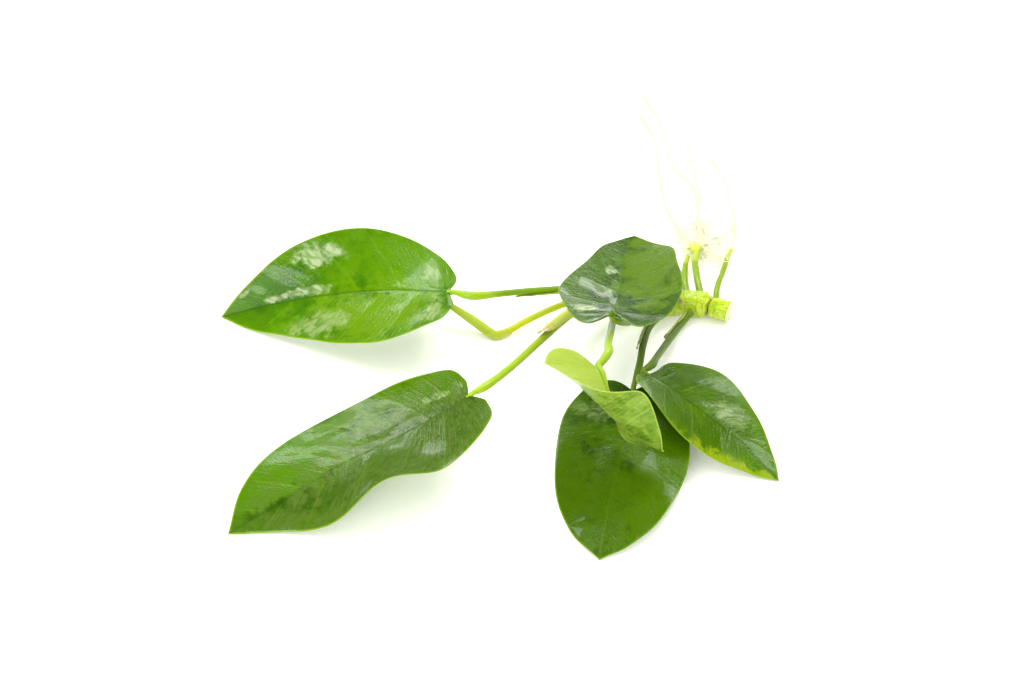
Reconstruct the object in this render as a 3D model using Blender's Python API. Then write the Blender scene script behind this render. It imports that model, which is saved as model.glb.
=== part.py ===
"""A bare-root anubias: a creeping rhizome with its leaves, leaf stalks, sheaths and roots.

The plant lies on a level surface at Z = 0 with its washed roots spread behind it (+Y) and its
leaves in front (-Y) and to the left (-X). Lengths in the tables are millimetres, measured from
under the cut end of the rhizome, and angles are degrees. Every mesh is built in metres and hangs
from an empty that puts the world's origin at the middle of the flat under the rhizome.
"""

import math
from dataclasses import dataclass

import bmesh
import bpy
from mathutils import Vector

MM = 0.001

# Driving dimensions, in millimetres
RHIZOME_RADIUS = 3.7
REST_MIDDLE = (-8.0, 2.2, 0.0)
STALK_RADIUS = 0.95
YOUNG_STALK_RADIUS = 0.95
BLADE_RIB_THICKNESS = 1.0
BLADE_EDGE_SHARE = 0.45
SHEATH_THICKNESS = 0.4
SHEATH_CLEARANCE = 0.35
YOUNG_LEAF_RADIUS = 1.4
COLLAR_RADIUS = 1.35
MAT_CENTRE = (2.2, 31.5, 0.0)
MAT_SIZES = (10.4, 17.5, 0.8)

# Mesh density
OUTLINE_STEPS = 13
LATERAL_STEPS = 5
STALK_STEP = 3.2
ROOT_STEP = 3.6
YOUNG_LEAF_STEP = 2.2
COLLAR_STEP = 1.0
SHEATH_ROWS = 9
SHEATH_COLUMNS = 6
RHIZOME_RINGS = 26
RHIZOME_AROUND = 14
MAT_RINGS = 4
MAT_AROUND = 16
SECTION_SAMPLES = 6
MIDRIB_SAMPLES = 40


@dataclass(frozen=True)
class Half:
    """One half of a blade, seen from the midrib outwards.

    fold is the slope of the half where it leaves the midrib and curl is how much further it
    turns by its margin, both given from the base of the blade to its tip. lobe, widest, full
    and point shape the margin: how far the lobe reaches back past the stalk, where the half is
    widest, and how wide it still is at two thirds and near the tip.
    """

    width: float
    fold: tuple
    curl: tuple
    lobe: float
    widest: float
    full: float
    point: float

    def margin(self):
        """Control points of the margin as (place on the midrib, distance along, distance out)."""
        return (
            (0.0, 0.0, 0.0),
            (0.012, -0.75 * self.lobe, 0.35),
            (0.04, 0.05 - 0.6 * self.lobe, 0.74),
            (0.2, self.widest, 1.0),
            (0.48, 0.62, self.full),
            (0.76, 0.86, self.point),
            (1.0, 1.0, 0.0),
        )


@dataclass(frozen=True)
class Blade:
    """A leaf blade: where its midrib starts, how the midrib runs, and its two halves."""

    name: str
    base: tuple
    length: float
    heading: tuple
    pitch: tuple
    roll: tuple
    left: Half
    right: Half
    colour: tuple


LEAF_GREEN = (0.07, 0.22, 0.012)
DEEP_GREEN = (0.035, 0.14, 0.010)
PALE_GREEN = (0.24, 0.42, 0.06)
STALK_GREEN = (0.16, 0.33, 0.015)
DARK_STALK_GREEN = (0.06, 0.18, 0.012)
YOUNG_GREEN = (0.36, 0.50, 0.02)
RHIZOME_GREEN = (0.22, 0.36, 0.02)
SHEATH_CREAM = (0.55, 0.50, 0.22)
ROOT_GREEN = (0.26, 0.40, 0.04)
ROOT_CREAM = (0.78, 0.76, 0.50)

BLADES = (
    Blade(
        name="blade_left",
        base=(-71, -8, 15.5),
        length=67,
        heading=(168, 173, 180),
        pitch=(-5, -13.5, -20),
        roll=(0, -26, -44),
        left=Half(21, (0, 8, 14), (5, 20, 32), 0.06, 0.28, 0.66, 0.32),
        right=Half(19, (-4, 16, 30), (0, 4, 8), 0.0, 0.32, 0.80, 0.34),
        colour=LEAF_GREEN,
    ),
    Blade(
        name="blade_front_left",
        base=(-65, -53, 17),
        length=71.5,
        heading=(204, 212, 210, 207),
        pitch=(-24, -5.4, -15.4, -17.4),
        roll=(8, 0, -8, -30),
        left=Half(20, (8, 2, 6, -10, -14), (-20, 4, 38, 12, 0), 0.06, 0.36, 0.80, 0.28),
        right=Half(17.5, (0, -2, 4, 12), (24, 0, -10, 0), 0.03, 0.26, 0.91, 0.52),
        colour=LEAF_GREEN,
    ),
    Blade(
        name="blade_round",
        base=(-27, -30, 26),
        length=45.5,
        heading=(81, 82, 74),
        pitch=(-18, -9, -5),
        roll=(6, 1, -3),
        left=Half(15.7, (-1, 6, 2), (10, 4, -8), 0.30, 0.19, 0.64, 0.40),
        right=Half(17.5, (1, 6, 2), (17, 20, 12), 0.19, 0.28, 0.86, 0.66),
        colour=DEEP_GREEN,
    ),
    Blade(
        name="blade_curled",
        base=(-31, -50, 23),
        length=29,
        heading=(285, 290, 324, 352),
        pitch=(-10, -30, -17, -26),
        roll=(158, 167, 152, 154),
        left=Half(20, (-4, -26, -19, -6), (3, -46, -76, -130), 0.29, 0.30, 1.0, 0.54),
        right=Half(7, (50, 30, 30, 20), (20, 48, 40, 20), -0.05, 0.32, 0.85, 0.40),
        colour=PALE_GREEN,
    ),
    Blade(
        name="blade_front",
        base=(-22, -46.2, 13),
        length=52.5,
        heading=(260, 257, 262),
        pitch=(-27, -8.6, -14.8),
        roll=(0, 3, -4),
        left=Half(17.3, (-16, 0, 8), (-4, 1, 2), 0.08, 0.29, 0.93, 0.57),
        right=Half(17.2, (-6, -1, 7), (8, 16, 26), 0.06, 0.23, 0.86, 0.54),
        colour=DEEP_GREEN,
    ),
    Blade(
        name="blade_right",
        base=(-18, -43.2, 16),
        length=44.5,
        heading=(336, 326, 306),
        pitch=(-22, -22, -14),
        roll=(-16, 1, 10),
        left=Half(15.8, (-6, -3, -8), (18, 8, -2), -0.06, 0.33, 0.66, 0.25),
        right=Half(13.4, (8, 6, -4), (-4, 0, 6), 0.07, 0.29, 0.79, 0.36),
        colour=LEAF_GREEN,
    ),
)


@dataclass(frozen=True)
class Stalk:
    """A leaf stalk: its route, its thickness along it, and how it meets its blade.

    shares scale the radius along the route. meets gives how far short of the base of its blade
    the stalk ends, as a distance behind the base and one below it.
    """

    name: str
    route: tuple
    shares: tuple
    radius: float
    colour: tuple
    blade: str = ""
    meets: tuple = (1.4, 0.0)


STALKS = (
    Stalk(
        name="stalk_left",
        route=((-20, 5.2, 5.4), (-31.8, 4.6, 7), (-40.3, 2, 8.5), (-48.7, -2, 11),
               (-57, -6.3, 13.5), (-63.2, -9.4, 15.2), (-66.4, -9.8, 15.9)),
        shares=(1.0, 1.0, 1.0, 1.0, 1.0, 1.25, 1.2, 0.7),
        radius=STALK_RADIUS,
        colour=STALK_GREEN,
        blade="blade_left",
    ),
    Stalk(
        name="stalk_front_left",
        route=((-20.5, 0.6, 4.5), (-30, -0.9, 7), (-37.4, -10, 9.5), (-45.8, -25.4, 13),
               (-52.6, -38, 15.6), (-57.6, -46.2, 17.2), (-61, -50.4, 17.8)),
        shares=(1.2, 1.25, 1.25, 1.15, 1.1, 1.1, 1.2, 0.7),
        radius=STALK_RADIUS,
        colour=STALK_GREEN,
        blade="blade_front_left",
    ),
    Stalk(
        name="stalk_round",
        route=((-14.4, -2.8, 7.6), (-17, -9, 10), (-19.8, -17.4, 14), (-22.4, -24.6, 18.4),
               (-24.9, -29.4, 22.4)),
        shares=(1.0, 1.0, 1.0, 1.0, 1.0, 0.75),
        radius=STALK_RADIUS,
        colour=STALK_GREEN,
        blade="blade_round",
        meets=(0.2, 1.7),
    ),
    Stalk(
        name="stalk_curled",
        route=((-18.8, -2.2, 6.2), (-22.6, -9.6, 9.4), (-25.6, -18.2, 14.2), (-26.8, -25, 18.4),
               (-27.5, -31, 20.8), (-28.1, -36.2, 22.8), (-28.9, -40.4, 23.9), (-28.4, -43.9, 24.4),
               (-29.1, -46.9, 24.3)),
        shares=(1.0, 1.0, 1.0, 1.0, 1.0, 1.0, 1.0, 1.15, 1.2, 0.75),
        radius=STALK_RADIUS,
        colour=STALK_GREEN,
        blade="blade_curled",
        meets=(1.6, 0.0),
    ),
    Stalk(
        name="stalk_front",
        route=((-11.2, -2.8, 4.4), (-13.6, -9, 7), (-16.6, -17.6, 10.2), (-18.6, -27.6, 12.6),
               (-19.6, -34.6, 13.4), (-20.6, -40.6, 13.8)),
        shares=(1.0, 1.0, 1.0, 1.0, 1.0, 1.1, 0.7),
        radius=STALK_RADIUS,
        colour=DARK_STALK_GREEN,
        blade="blade_front",
    ),
    Stalk(
        name="stalk_right",
        route=((-4.4, -3.4, 3.6), (-6.1, -8.4, 5.5), (-9.1, -16.6, 8.4), (-12.8, -27, 11.8),
               (-15.5, -35, 14.6), (-16.9, -39.4, 16)),
        shares=(1.0, 1.0, 1.0, 1.0, 1.0, 1.15, 0.7),
        radius=STALK_RADIUS,
        colour=DARK_STALK_GREEN,
        blade="blade_right",
        meets=(1.7, 0.0),
    ),
    Stalk(
        name="stalk_young",
        route=((-22.4, 9.6, 2.2), (-31, 6.4, 2.6), (-40.3, 1.6, 2.8), (-48.7, -3.8, 2.4),
               (-54.6, -8, 1.6)),
        shares=(1.0, 1.0, 1.0, 1.0, 1.0),
        radius=YOUNG_STALK_RADIUS,
        colour=YOUNG_GREEN,
    ),
)


@dataclass(frozen=True)
class Sheath:
    """A split sheath on a stalk, from one place on it to another.

    side is the direction that the middle of the strip faces, in degrees up from level, turn is
    how far it wraps around, and flare is how far its tip stands off the stalk.
    """

    name: str
    stalk: str
    start: float
    end: float
    side: float
    turn: float
    flare: float
    colour: tuple


SHEATHS = (
    Sheath("sheath_left", "stalk_left", 0.05, 0.50, 250, 150, 0.1, STALK_GREEN),
    Sheath("sheath_front_left", "stalk_front_left", 0.10, 0.42, 30, 200, 0.7, SHEATH_CREAM),
    Sheath("sheath_front", "stalk_front", 0.10, 0.55, 20, 140, 0.2, PALE_GREEN),
    Sheath("sheath_right", "stalk_right", 0.06, 0.42, 10, 140, 0.2, PALE_GREEN),
)

@dataclass(frozen=True)
class Root:
    """A washed root: its route, its radius along the route in millimetres, and its colour."""

    name: str
    route: tuple
    radii: tuple
    colour: tuple


ROOTS = (
    Root(
        "root_green_left",
        ((-4.2, 6.8, 2.6), (-4.6, 11, 3.2), (-4.6, 15, 3.2), (-4, 20, 2.6), (-2.9, 25, 2.4)),
        (1.0, 0.95, 0.95, 0.85, 0.6),
        ROOT_GREEN,
    ),
    Root(
        "root_green_centre",
        ((-0.5, 6.4, 3.4), (-1.1, 12.5, 4), (-1.2, 20, 3.5), (-0.3, 25.6, 3.2)),
        (1.15, 1.15, 1.15, 1.1),
        ROOT_GREEN,
    ),
    Root(
        "root_green_right",
        ((3.9, 5.2, 2.9), (4.8, 10.2, 3), (6.3, 15.8, 2.6), (8, 22.6, 2.1), (9.9, 29, 1.7)),
        (0.95, 0.85, 0.8, 0.7, 0.45),
        ROOT_GREEN,
    ),
    Root(
        "root_long_centre",
        ((0.9, 30.6, 3), (1.2, 40, 2.9), (1.4, 51.6, 2.8), (0.9, 57.1, 2.2), (-1.3, 64.4, 1.6),
         (-3.9, 68.9, 1.2), (-5.6, 78.2, 0.9), (-6.4, 87.4, 0.8), (-8.9, 99.6, 0.7),
         (-12.6, 112.6, 0.6)),
        (0.62, 0.55, 0.52, 0.5, 0.5, 0.5, 0.45, 0.42, 0.4, 0.3),
        ROOT_CREAM,
    ),
    Root(
        "root_long_left",
        ((-3.2, 31.4, 2.8), (-5.2, 37.4, 2.9), (-7.5, 45.8, 2.6), (-8.8, 58.5, 1.6), (-9.2, 68.8, 1),
         (-9.2, 78.2, 0.8), (-10, 84, 0.7), (-11.2, 92, 0.7), (-14, 100, 0.6)),
        (0.5, 0.5, 0.48, 0.45, 0.45, 0.42, 0.42, 0.4, 0.3),
        ROOT_CREAM,
    ),
    Root(
        "root_side_branch",
        ((2.6, 53.4, 2.3), (2.1, 60, 1.6), (1.5, 67.1, 1.1), (1, 74, 0.8), (0.4, 85.4, 0.6)),
        (0.4, 0.4, 0.4, 0.38, 0.3),
        ROOT_CREAM,
    ),
    Root(
        "root_long_right",
        ((10.4, 30.4, 1.9), (11.5, 36, 2.4), (12, 44, 2), (11, 54, 1.2), (11.3, 60, 0.9),
         (9.6, 67, 0.8), (7.2, 76.2, 0.6)),
        (0.45, 0.45, 0.45, 0.42, 0.42, 0.4, 0.3),
        ROOT_CREAM,
    ),
)

RHIZOME_AXIS = (
    (-18.4, 1.7, 3.5), (-13.6, 1.8, 3.35), (-9, 2.3, 3.3), (-5, 2.4, 3.25), (-1, 1.9, 3.2),
    (1.1, 1.4, 3.15), (2.2, 0.9, 3.15), (3.4, 0.2, 3.15), (7, -1.6, 3.2),
)
RHIZOME_SHARES = (0.72, 0.94, 1.0, 0.97, 1.0, 0.86, 0.72, 0.84, 0.84)
RING_RELIEF = 0.035
RING_TURNS = 40.0


def clear_scene():
    """Remove every object of the starting scene."""
    for item in list(bpy.data.objects):
        bpy.data.objects.remove(item, do_unlink=True)


def add_plant_origin():
    """The empty that every piece hangs from, set so that the rest point is the world's origin."""
    plant = bpy.data.objects.new("plant", None)
    plant.location = -Vector(REST_MIDDLE) * MM
    bpy.context.scene.collection.objects.link(plant)


def plain_material(name, colour, roughness):
    """A Principled material of one colour; a material of that name is used again."""
    if name in bpy.data.materials:
        return bpy.data.materials[name]
    material = bpy.data.materials.new(name)
    material.use_nodes = True
    shader = material.node_tree.nodes["Principled BSDF"]
    shader.inputs["Base Color"].default_value = (*colour, 1.0)
    shader.inputs["Roughness"].default_value = roughness
    shader.inputs["Metallic"].default_value = 0.0
    material.diffuse_color = (*colour, 1.0)
    return material


def spline(values, place):
    """Read a smooth curve through evenly spaced values at a place from 0 to 1."""
    spans = len(values) - 1
    scaled = min(max(place, 0.0), 1.0) * spans
    index = min(int(scaled), spans - 1)
    f = scaled - index
    b = values[index]
    c = values[index + 1]
    a = values[index - 1] if index > 0 else 2 * b - c
    d = values[index + 2] if index + 2 <= spans else 2 * c - b
    return b + 0.5 * f * (c - a + f * (2 * a - 5 * b + 4 * c - d + f * (3 * (b - c) + d - a)))


def route_point(route, place):
    """Read a smooth curve through the points of a route."""
    return Vector([spline([point[axis] for point in route], place) for axis in range(3)])


def route_length(route, samples=60):
    """Length of the smooth curve through a route."""
    points = [route_point(route, i / samples) for i in range(samples + 1)]
    return sum((b - a).length for a, b in zip(points, points[1:]))


def add_object(name, data, material):
    """Link a mesh or curve as a named object with its material."""
    item = bpy.data.objects.new(name, data)
    item.parent = bpy.data.objects["plant"]
    data.materials.append(material)
    bpy.context.scene.collection.objects.link(item)
    return item


def mesh_object(name, mesh, material):
    """Turn a bmesh into a smooth-shaded named object."""
    bmesh.ops.recalc_face_normals(mesh, faces=mesh.faces)
    data = bpy.data.meshes.new(name)
    mesh.to_mesh(data)
    mesh.free()
    data.shade_smooth()
    return add_object(name, data, material)


def tube(name, route, shares, radius, step, material):
    """A round stalk or root: a bevelled curve with filled caps, its ends drawn in a little."""
    count = max(4, round(route_length(route) / step))
    curve = bpy.data.curves.new(name, "CURVE")
    curve.dimensions = "3D"
    curve.bevel_depth = radius * MM
    curve.bevel_resolution = 2
    curve.use_fill_caps = True
    line = curve.splines.new("POLY")
    line.points.add(count)
    for index, point in enumerate(line.points):
        place = index / count
        point.co = (*(route_point(route, place) * MM), 1.0)
        point.radius = spline(shares, place)
    line.use_smooth = True
    return add_object(name, curve, material)


class BladeSurface:
    """The middle surface of a leaf blade, in millimetres."""

    def __init__(self, blade):
        self.blade = blade
        self.points = [Vector(blade.base)]
        step = blade.length / MIDRIB_SAMPLES
        for index in range(MIDRIB_SAMPLES):
            along = self.directions((index + 0.5) / MIDRIB_SAMPLES)[0]
            self.points.append(self.points[-1] + along * step)

    def directions(self, place):
        """Unit vectors along the midrib, to its left and up from its upper face."""
        heading = math.radians(spline(self.blade.heading, place))
        pitch = math.radians(spline(self.blade.pitch, place))
        roll = math.radians(spline(self.blade.roll, place))
        along = Vector((math.cos(pitch) * math.cos(heading), math.cos(pitch) * math.sin(heading),
                        math.sin(pitch)))
        level = Vector((-math.sin(heading), math.cos(heading), 0.0))
        raised = along.cross(level)
        left = level * math.cos(roll) + raised * math.sin(roll)
        return along, left, along.cross(left)

    def midrib(self, distance):
        """Point on the midrib line, run straight on past both of its ends."""
        scaled = min(max(distance / self.blade.length, 0.0), 1.0) * MIDRIB_SAMPLES
        index = min(int(scaled), MIDRIB_SAMPLES - 1)
        point = self.points[index].lerp(self.points[index + 1], scaled - index)
        beyond = distance - self.blade.length * scaled / MIDRIB_SAMPLES
        return point + self.directions(distance / self.blade.length)[0] * beyond

    def point(self, half, side, station, out):
        """Point a share out along the side vein of a station; side is 1 on the left, -1 on the right."""
        foot, along, across = (
            spline([point[axis] for point in half.margin()], station) for axis in range(3)
        )
        distance = (foot + out * (along - foot)) * self.blade.length
        breadth = out * abs(across) * half.width
        place = distance / self.blade.length
        fold = math.radians(spline(half.fold, place))
        curl = math.radians(spline(half.curl, place)) * breadth / half.width
        flat = 0.0
        raised = 0.0
        for sample in range(SECTION_SAMPLES):
            angle = fold + curl * (sample + 0.5) / SECTION_SAMPLES
            flat += math.cos(angle) * breadth / SECTION_SAMPLES
            raised += math.sin(angle) * breadth / SECTION_SAMPLES
        _, left, up = self.directions(place)
        return self.midrib(distance) + left * (side * flat) + up * raised


def add_blade(blade):
    """One blade: a grid of side veins thickened most along the midrib."""
    surface = BladeSurface(blade)
    mesh = bmesh.new()
    weights = mesh.verts.layers.deform.verify()
    midrib = []
    for station in range(OUTLINE_STEPS + 1):
        foot = spline([point[0] for point in blade.left.margin()], station / OUTLINE_STEPS)
        vert = mesh.verts.new(surface.midrib(foot * blade.length) * MM)
        vert[weights][0] = 1.0 - foot**2 * (1.0 - BLADE_EDGE_SHARE)
        midrib.append(vert)
    for half, side in ((blade.left, 1), (blade.right, -1)):
        rows = [[vert] for vert in midrib]
        for station in range(1, OUTLINE_STEPS):
            for step in range(1, LATERAL_STEPS + 1):
                out = step / LATERAL_STEPS
                point = surface.point(half, side, station / OUTLINE_STEPS, out)
                vert = mesh.verts.new(point * MM)
                thinned = (midrib[station][weights][0] - BLADE_EDGE_SHARE) * (1.0 - math.sqrt(out))
                vert[weights][0] = BLADE_EDGE_SHARE + thinned
                rows[station].append(vert)
        for row, after in zip(rows[1:-1], rows[2:-1]):
            for step in range(LATERAL_STEPS):
                mesh.faces.new((row[step], row[step + 1], after[step + 1], after[step]))
        for tip, row in ((rows[0][0], rows[1]), (rows[-1][0], rows[-2])):
            for step in range(LATERAL_STEPS):
                mesh.faces.new((tip, row[step], row[step + 1]))
    leaf = mesh_object(blade.name, mesh, plain_material(blade.name, blade.colour, 0.25))
    leaf.vertex_groups.new(name="thickness")
    thicken = leaf.modifiers.new("thickness", "SOLIDIFY")
    thicken.thickness = BLADE_RIB_THICKNESS * MM
    thicken.offset = 0.0
    thicken.vertex_group = "thickness"
    return leaf


def frame_across(route, place):
    """Unit vectors across a route: one level, one raised."""
    along = (route_point(route, min(place + 0.01, 1.0)) - route_point(route, max(place - 0.01, 0.0)))
    level = along.normalized().cross(Vector((0.0, 0.0, 1.0))).normalized()
    return level, level.cross(along.normalized())


def add_sheath(sheath, stalk, route):
    """A split sheath: a curved strip around one side of a stalk, narrowing to a rounded tip."""
    mesh = bmesh.new()
    grid = []
    for row in range(SHEATH_ROWS + 1):
        share = row / SHEATH_ROWS
        place = sheath.start + (sheath.end - sheath.start) * share
        level, raised = frame_across(route, place)
        half_turn = math.radians(sheath.turn / 2) * math.sqrt(max(1.0 - share**4, 0.06))
        reach = stalk.radius * spline(stalk.shares, place) + SHEATH_CLEARANCE + SHEATH_THICKNESS / 2
        reach += sheath.flare * share
        line = []
        for column in range(SHEATH_COLUMNS + 1):
            angle = math.radians(sheath.side) + half_turn * (2 * column / SHEATH_COLUMNS - 1)
            across = level * math.cos(angle) + raised * math.sin(angle)
            line.append(mesh.verts.new((route_point(route, place) + across * reach) * MM))
        grid.append(line)
    for line, after in zip(grid, grid[1:]):
        for column in range(SHEATH_COLUMNS):
            mesh.faces.new((line[column], line[column + 1], after[column + 1], after[column]))
    strip = mesh_object(sheath.name, mesh, plain_material(sheath.name, sheath.colour, 0.4))
    thicken = strip.modifiers.new("thickness", "SOLIDIFY")
    thicken.thickness = SHEATH_THICKNESS * MM
    thicken.offset = 0.0
    return strip


def add_rhizome():
    """The creeping stem: rings of old leaf scars, a cut end, and a flat worn underneath."""
    mesh = bmesh.new()
    loops = []
    for ring in range(RHIZOME_RINGS + 1):
        place = ring / RHIZOME_RINGS
        level, raised = frame_across(RHIZOME_AXIS, place)
        ringed = 1.0 + RING_RELIEF * math.sin(place * RING_TURNS)
        reach = RHIZOME_RADIUS * spline(RHIZOME_SHARES, place) * ringed
        centre = route_point(RHIZOME_AXIS, place)
        angles = [2 * math.pi * index / RHIZOME_AROUND for index in range(RHIZOME_AROUND)]
        loops.append([
            mesh.verts.new((centre + (level * math.cos(a) + raised * math.sin(a)) * reach) * MM)
            for a in angles
        ])
    for loop, after in zip(loops, loops[1:]):
        for index in range(RHIZOME_AROUND):
            mesh.faces.new((loop[index - 1], loop[index], after[index], after[index - 1]))
    mesh.faces.new(loops[0])
    mesh.faces.new(loops[-1])
    everything = mesh.verts[:] + mesh.edges[:] + mesh.faces[:]
    cut = bmesh.ops.bisect_plane(mesh, geom=everything, plane_co=(0, 0, 0), plane_no=(0, 0, -1),
                                 clear_outer=True)
    rim = [item for item in cut["geom_cut"] if isinstance(item, bmesh.types.BMEdge)]
    bmesh.ops.holes_fill(mesh, edges=rim, sides=0)
    rhizome = mesh_object("rhizome", mesh, plain_material("rhizome", RHIZOME_GREEN, 0.35))
    rhizome.data.set_sharp_from_angle(angle=math.radians(50))
    return rhizome


def add_young_leaf():
    """The furled young leaf: a pointed roll under the left blade, with a blunt foot at the bend."""
    route = ((-55.2, -8.45, 1.5), (-57.6, -9.5, 1.45), (-59.6, -9.1, 1.75), (-62.6, -6.8, 2.6),
             (-65.8, -4.8, 3.8), (-69.6, -2.6, 5.2), (-73.5, -0.2, 6.4))
    return tube("young_leaf", route, (0.85, 0.95, 1.0, 1.0, 0.95, 0.75, 0.3), YOUNG_LEAF_RADIUS,
                YOUNG_LEAF_STEP, plain_material("young_leaf", YOUNG_GREEN, 0.3))


def add_collar():
    """The knobby collar that the pale roots rise from."""
    route = ((-3.2, 28.2, 2.6), (-1.7, 27.6, 2.8), (-0.2, 28, 2.9), (1.2, 27.8, 2.6), (2.4, 28.4, 2.3))
    return tube("root_collar", route, (0.7, 1.15, 1.2, 0.95, 0.5), COLLAR_RADIUS,
                COLLAR_STEP, plain_material("root_collar", ROOT_GREEN, 0.4))


def add_root_mat():
    """The body of the fine washed roots, a low pad lying on the surface."""
    mesh = bmesh.new()
    centre = Vector(MAT_CENTRE)
    long, wide, high = MAT_SIZES[1], MAT_SIZES[0], MAT_SIZES[2]
    levels = []
    for ring in range(MAT_RINGS):
        tilt = math.radians(90 * ring / MAT_RINGS)
        loop = []
        for index in range(MAT_AROUND):
            angle = 2 * math.pi * index / MAT_AROUND
            uneven = 1.0 + 0.08 * math.sin(3 * angle) + 0.05 * math.cos(5 * angle)
            spread = math.cos(tilt) * uneven
            place = Vector((wide * math.cos(angle) * spread, long * math.sin(angle) * spread,
                            high * math.sin(tilt)))
            loop.append(mesh.verts.new((centre + place) * MM))
        levels.append(loop)
    top = mesh.verts.new((centre + Vector((0.0, 0.0, high))) * MM)
    for loop, after in zip(levels, levels[1:]):
        for index in range(MAT_AROUND):
            mesh.faces.new((loop[index - 1], loop[index], after[index], after[index - 1]))
    for index in range(MAT_AROUND):
        mesh.faces.new((levels[-1][index - 1], levels[-1][index], top))
    mesh.faces.new(levels[0])
    return mesh_object("root_mat", mesh, plain_material("root_mat", ROOT_CREAM, 0.5))


def stalk_route(stalk, blades):
    """Route of a stalk, ended just short of the base of its blade."""
    if not stalk.blade:
        return stalk.route
    blade = blades[stalk.blade]
    along, _, up = BladeSurface(blade).directions(0.0)
    back, below = stalk.meets
    return (*stalk.route, tuple(Vector(blade.base) - along * back - up * below))


def main():
    """Build every piece of the plant."""
    clear_scene()
    add_plant_origin()
    add_rhizome()
    blades = {blade.name: blade for blade in BLADES}
    for blade in BLADES:
        add_blade(blade)
    stalks = {stalk.name: (stalk, stalk_route(stalk, blades)) for stalk in STALKS}
    for stalk, route in stalks.values():
        material = plain_material(stalk.name, stalk.colour, 0.3)
        tube(stalk.name, route, stalk.shares, stalk.radius, STALK_STEP, material)
    for sheath in SHEATHS:
        add_sheath(sheath, *stalks[sheath.stalk])
    add_young_leaf()
    add_collar()
    for root in ROOTS:
        material = plain_material(root.name, root.colour, 0.45)
        tube(root.name, root.route, root.radii, 1.0, ROOT_STEP, material)
    add_root_mat()


main()
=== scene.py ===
"""Visual model of a washed, bare-root anubias that lies wet on a pale surface.

Every piece is built from the plant's own sizes, in millimetres measured from under the cut end of
the rhizome, and placed in the shared frame in metres. The blades are swept sheets with raised ribs
and sunken side veins, the stalks and roots grow along their paths in Geometry Nodes, and each
finish is a small tree of shader nodes.
"""

import logging
import math
from dataclasses import dataclass
from enum import Enum

import bpy
import numpy as np
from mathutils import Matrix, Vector


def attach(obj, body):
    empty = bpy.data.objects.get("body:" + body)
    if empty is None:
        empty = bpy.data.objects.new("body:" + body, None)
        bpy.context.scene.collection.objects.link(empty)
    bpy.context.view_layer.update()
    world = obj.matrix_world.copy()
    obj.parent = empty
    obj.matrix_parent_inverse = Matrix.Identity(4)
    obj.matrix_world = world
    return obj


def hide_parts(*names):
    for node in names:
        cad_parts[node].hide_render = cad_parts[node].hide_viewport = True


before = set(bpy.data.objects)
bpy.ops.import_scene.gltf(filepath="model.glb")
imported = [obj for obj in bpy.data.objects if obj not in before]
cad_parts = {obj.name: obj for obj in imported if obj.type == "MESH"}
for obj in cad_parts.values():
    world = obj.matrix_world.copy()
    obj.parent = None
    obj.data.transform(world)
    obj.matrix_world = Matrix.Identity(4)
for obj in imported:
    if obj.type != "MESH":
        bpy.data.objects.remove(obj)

LOG = logging.getLogger("anubias")
MM = 0.001
REST_MIDDLE = np.array((-8.0, 2.2, 0.0))
BODY = "root"
LIFT = 0.00003
TURN = 2.0 * math.pi

FILM_ACROSS = 0.00045
FILM_ALONG = 0.007
WET_ROUGHNESS = 0.08
WATER_IOR = 1.33

Colour = tuple[float, float, float]
Feed = float | tuple | bpy.types.NodeSocket


def placed(points: np.ndarray) -> np.ndarray:
    """Move points of the plant's own tables into the shared frame.

    Args:
        points: Points in millimetres from under the cut end of the rhizome.

    Returns:
        The same points in metres, from the middle of the rest flat.
    """
    return (np.asarray(points, float) - REST_MIDDLE) * MM


def spline(values: np.ndarray, place: np.ndarray) -> np.ndarray:
    """Read a smooth curve through evenly spaced values.

    Args:
        values: Numbers, or points one to a row, evenly spaced from 0 to 1.
        place: Where to read, as an array of places from 0 to 1.

    Returns:
        The values at those places.
    """
    table = np.asarray(values, float)
    spans = len(table) - 1
    scaled = np.clip(place, 0.0, 1.0) * spans
    index = np.minimum(scaled.astype(int), spans - 1)
    f = scaled - index
    if table.ndim > 1:
        f = f[..., None]
    ends = (2 * table[:1] - table[1:2], table, 2 * table[-1:] - table[-2:-1])
    a, b, c, d = (np.concatenate(ends)[index + step] for step in range(4))
    return b + 0.5 * f * (c - a + f * (2 * a - 5 * b + 4 * c - d + f * (3 * (b - c) + d - a)))


def around_route(route: np.ndarray, place: np.ndarray) -> tuple[np.ndarray, np.ndarray, np.ndarray]:
    """Find the middle of a route and the two directions across it.

    Args:
        route: Points of the route, evenly spaced from 0 to 1.
        place: Places along it.

    Returns:
        The points, and unit vectors level across it and upwards from it.
    """
    ahead = unit(spline(route, place + 0.01) - spline(route, place - 0.01))
    level = unit(np.cross(ahead, (0.0, 0.0, 1.0)))
    return spline(route, place), level, np.cross(level, ahead)


def outwards_at(level: np.ndarray, raised: np.ndarray, angle: np.ndarray) -> np.ndarray:
    """Turn from the level direction towards the raised one by an angle."""
    return level * np.cos(angle)[..., None] + raised * np.sin(angle)[..., None]


def grid(rows: np.ndarray, columns: np.ndarray) -> list[np.ndarray]:
    """Spread row and column values over a grid, one row to each row value."""
    return np.meshgrid(rows, columns, indexing="ij")


def ring_quads(numbers: np.ndarray) -> np.ndarray:
    """List the quads between rings of vertex numbers, where each ring closes on itself."""
    after = np.roll(numbers, -1, 1)
    return np.stack([numbers[:-1], numbers[1:], after[1:], after[:-1]], -1).reshape(-1, 4)


def eased(value: np.ndarray, low: float, high: float) -> np.ndarray:
    """Rise smoothly from 0 at low to 1 at high."""
    share = np.clip((value - low) / (high - low), 0.0, 1.0)
    return share * share * (3.0 - 2.0 * share)


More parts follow.
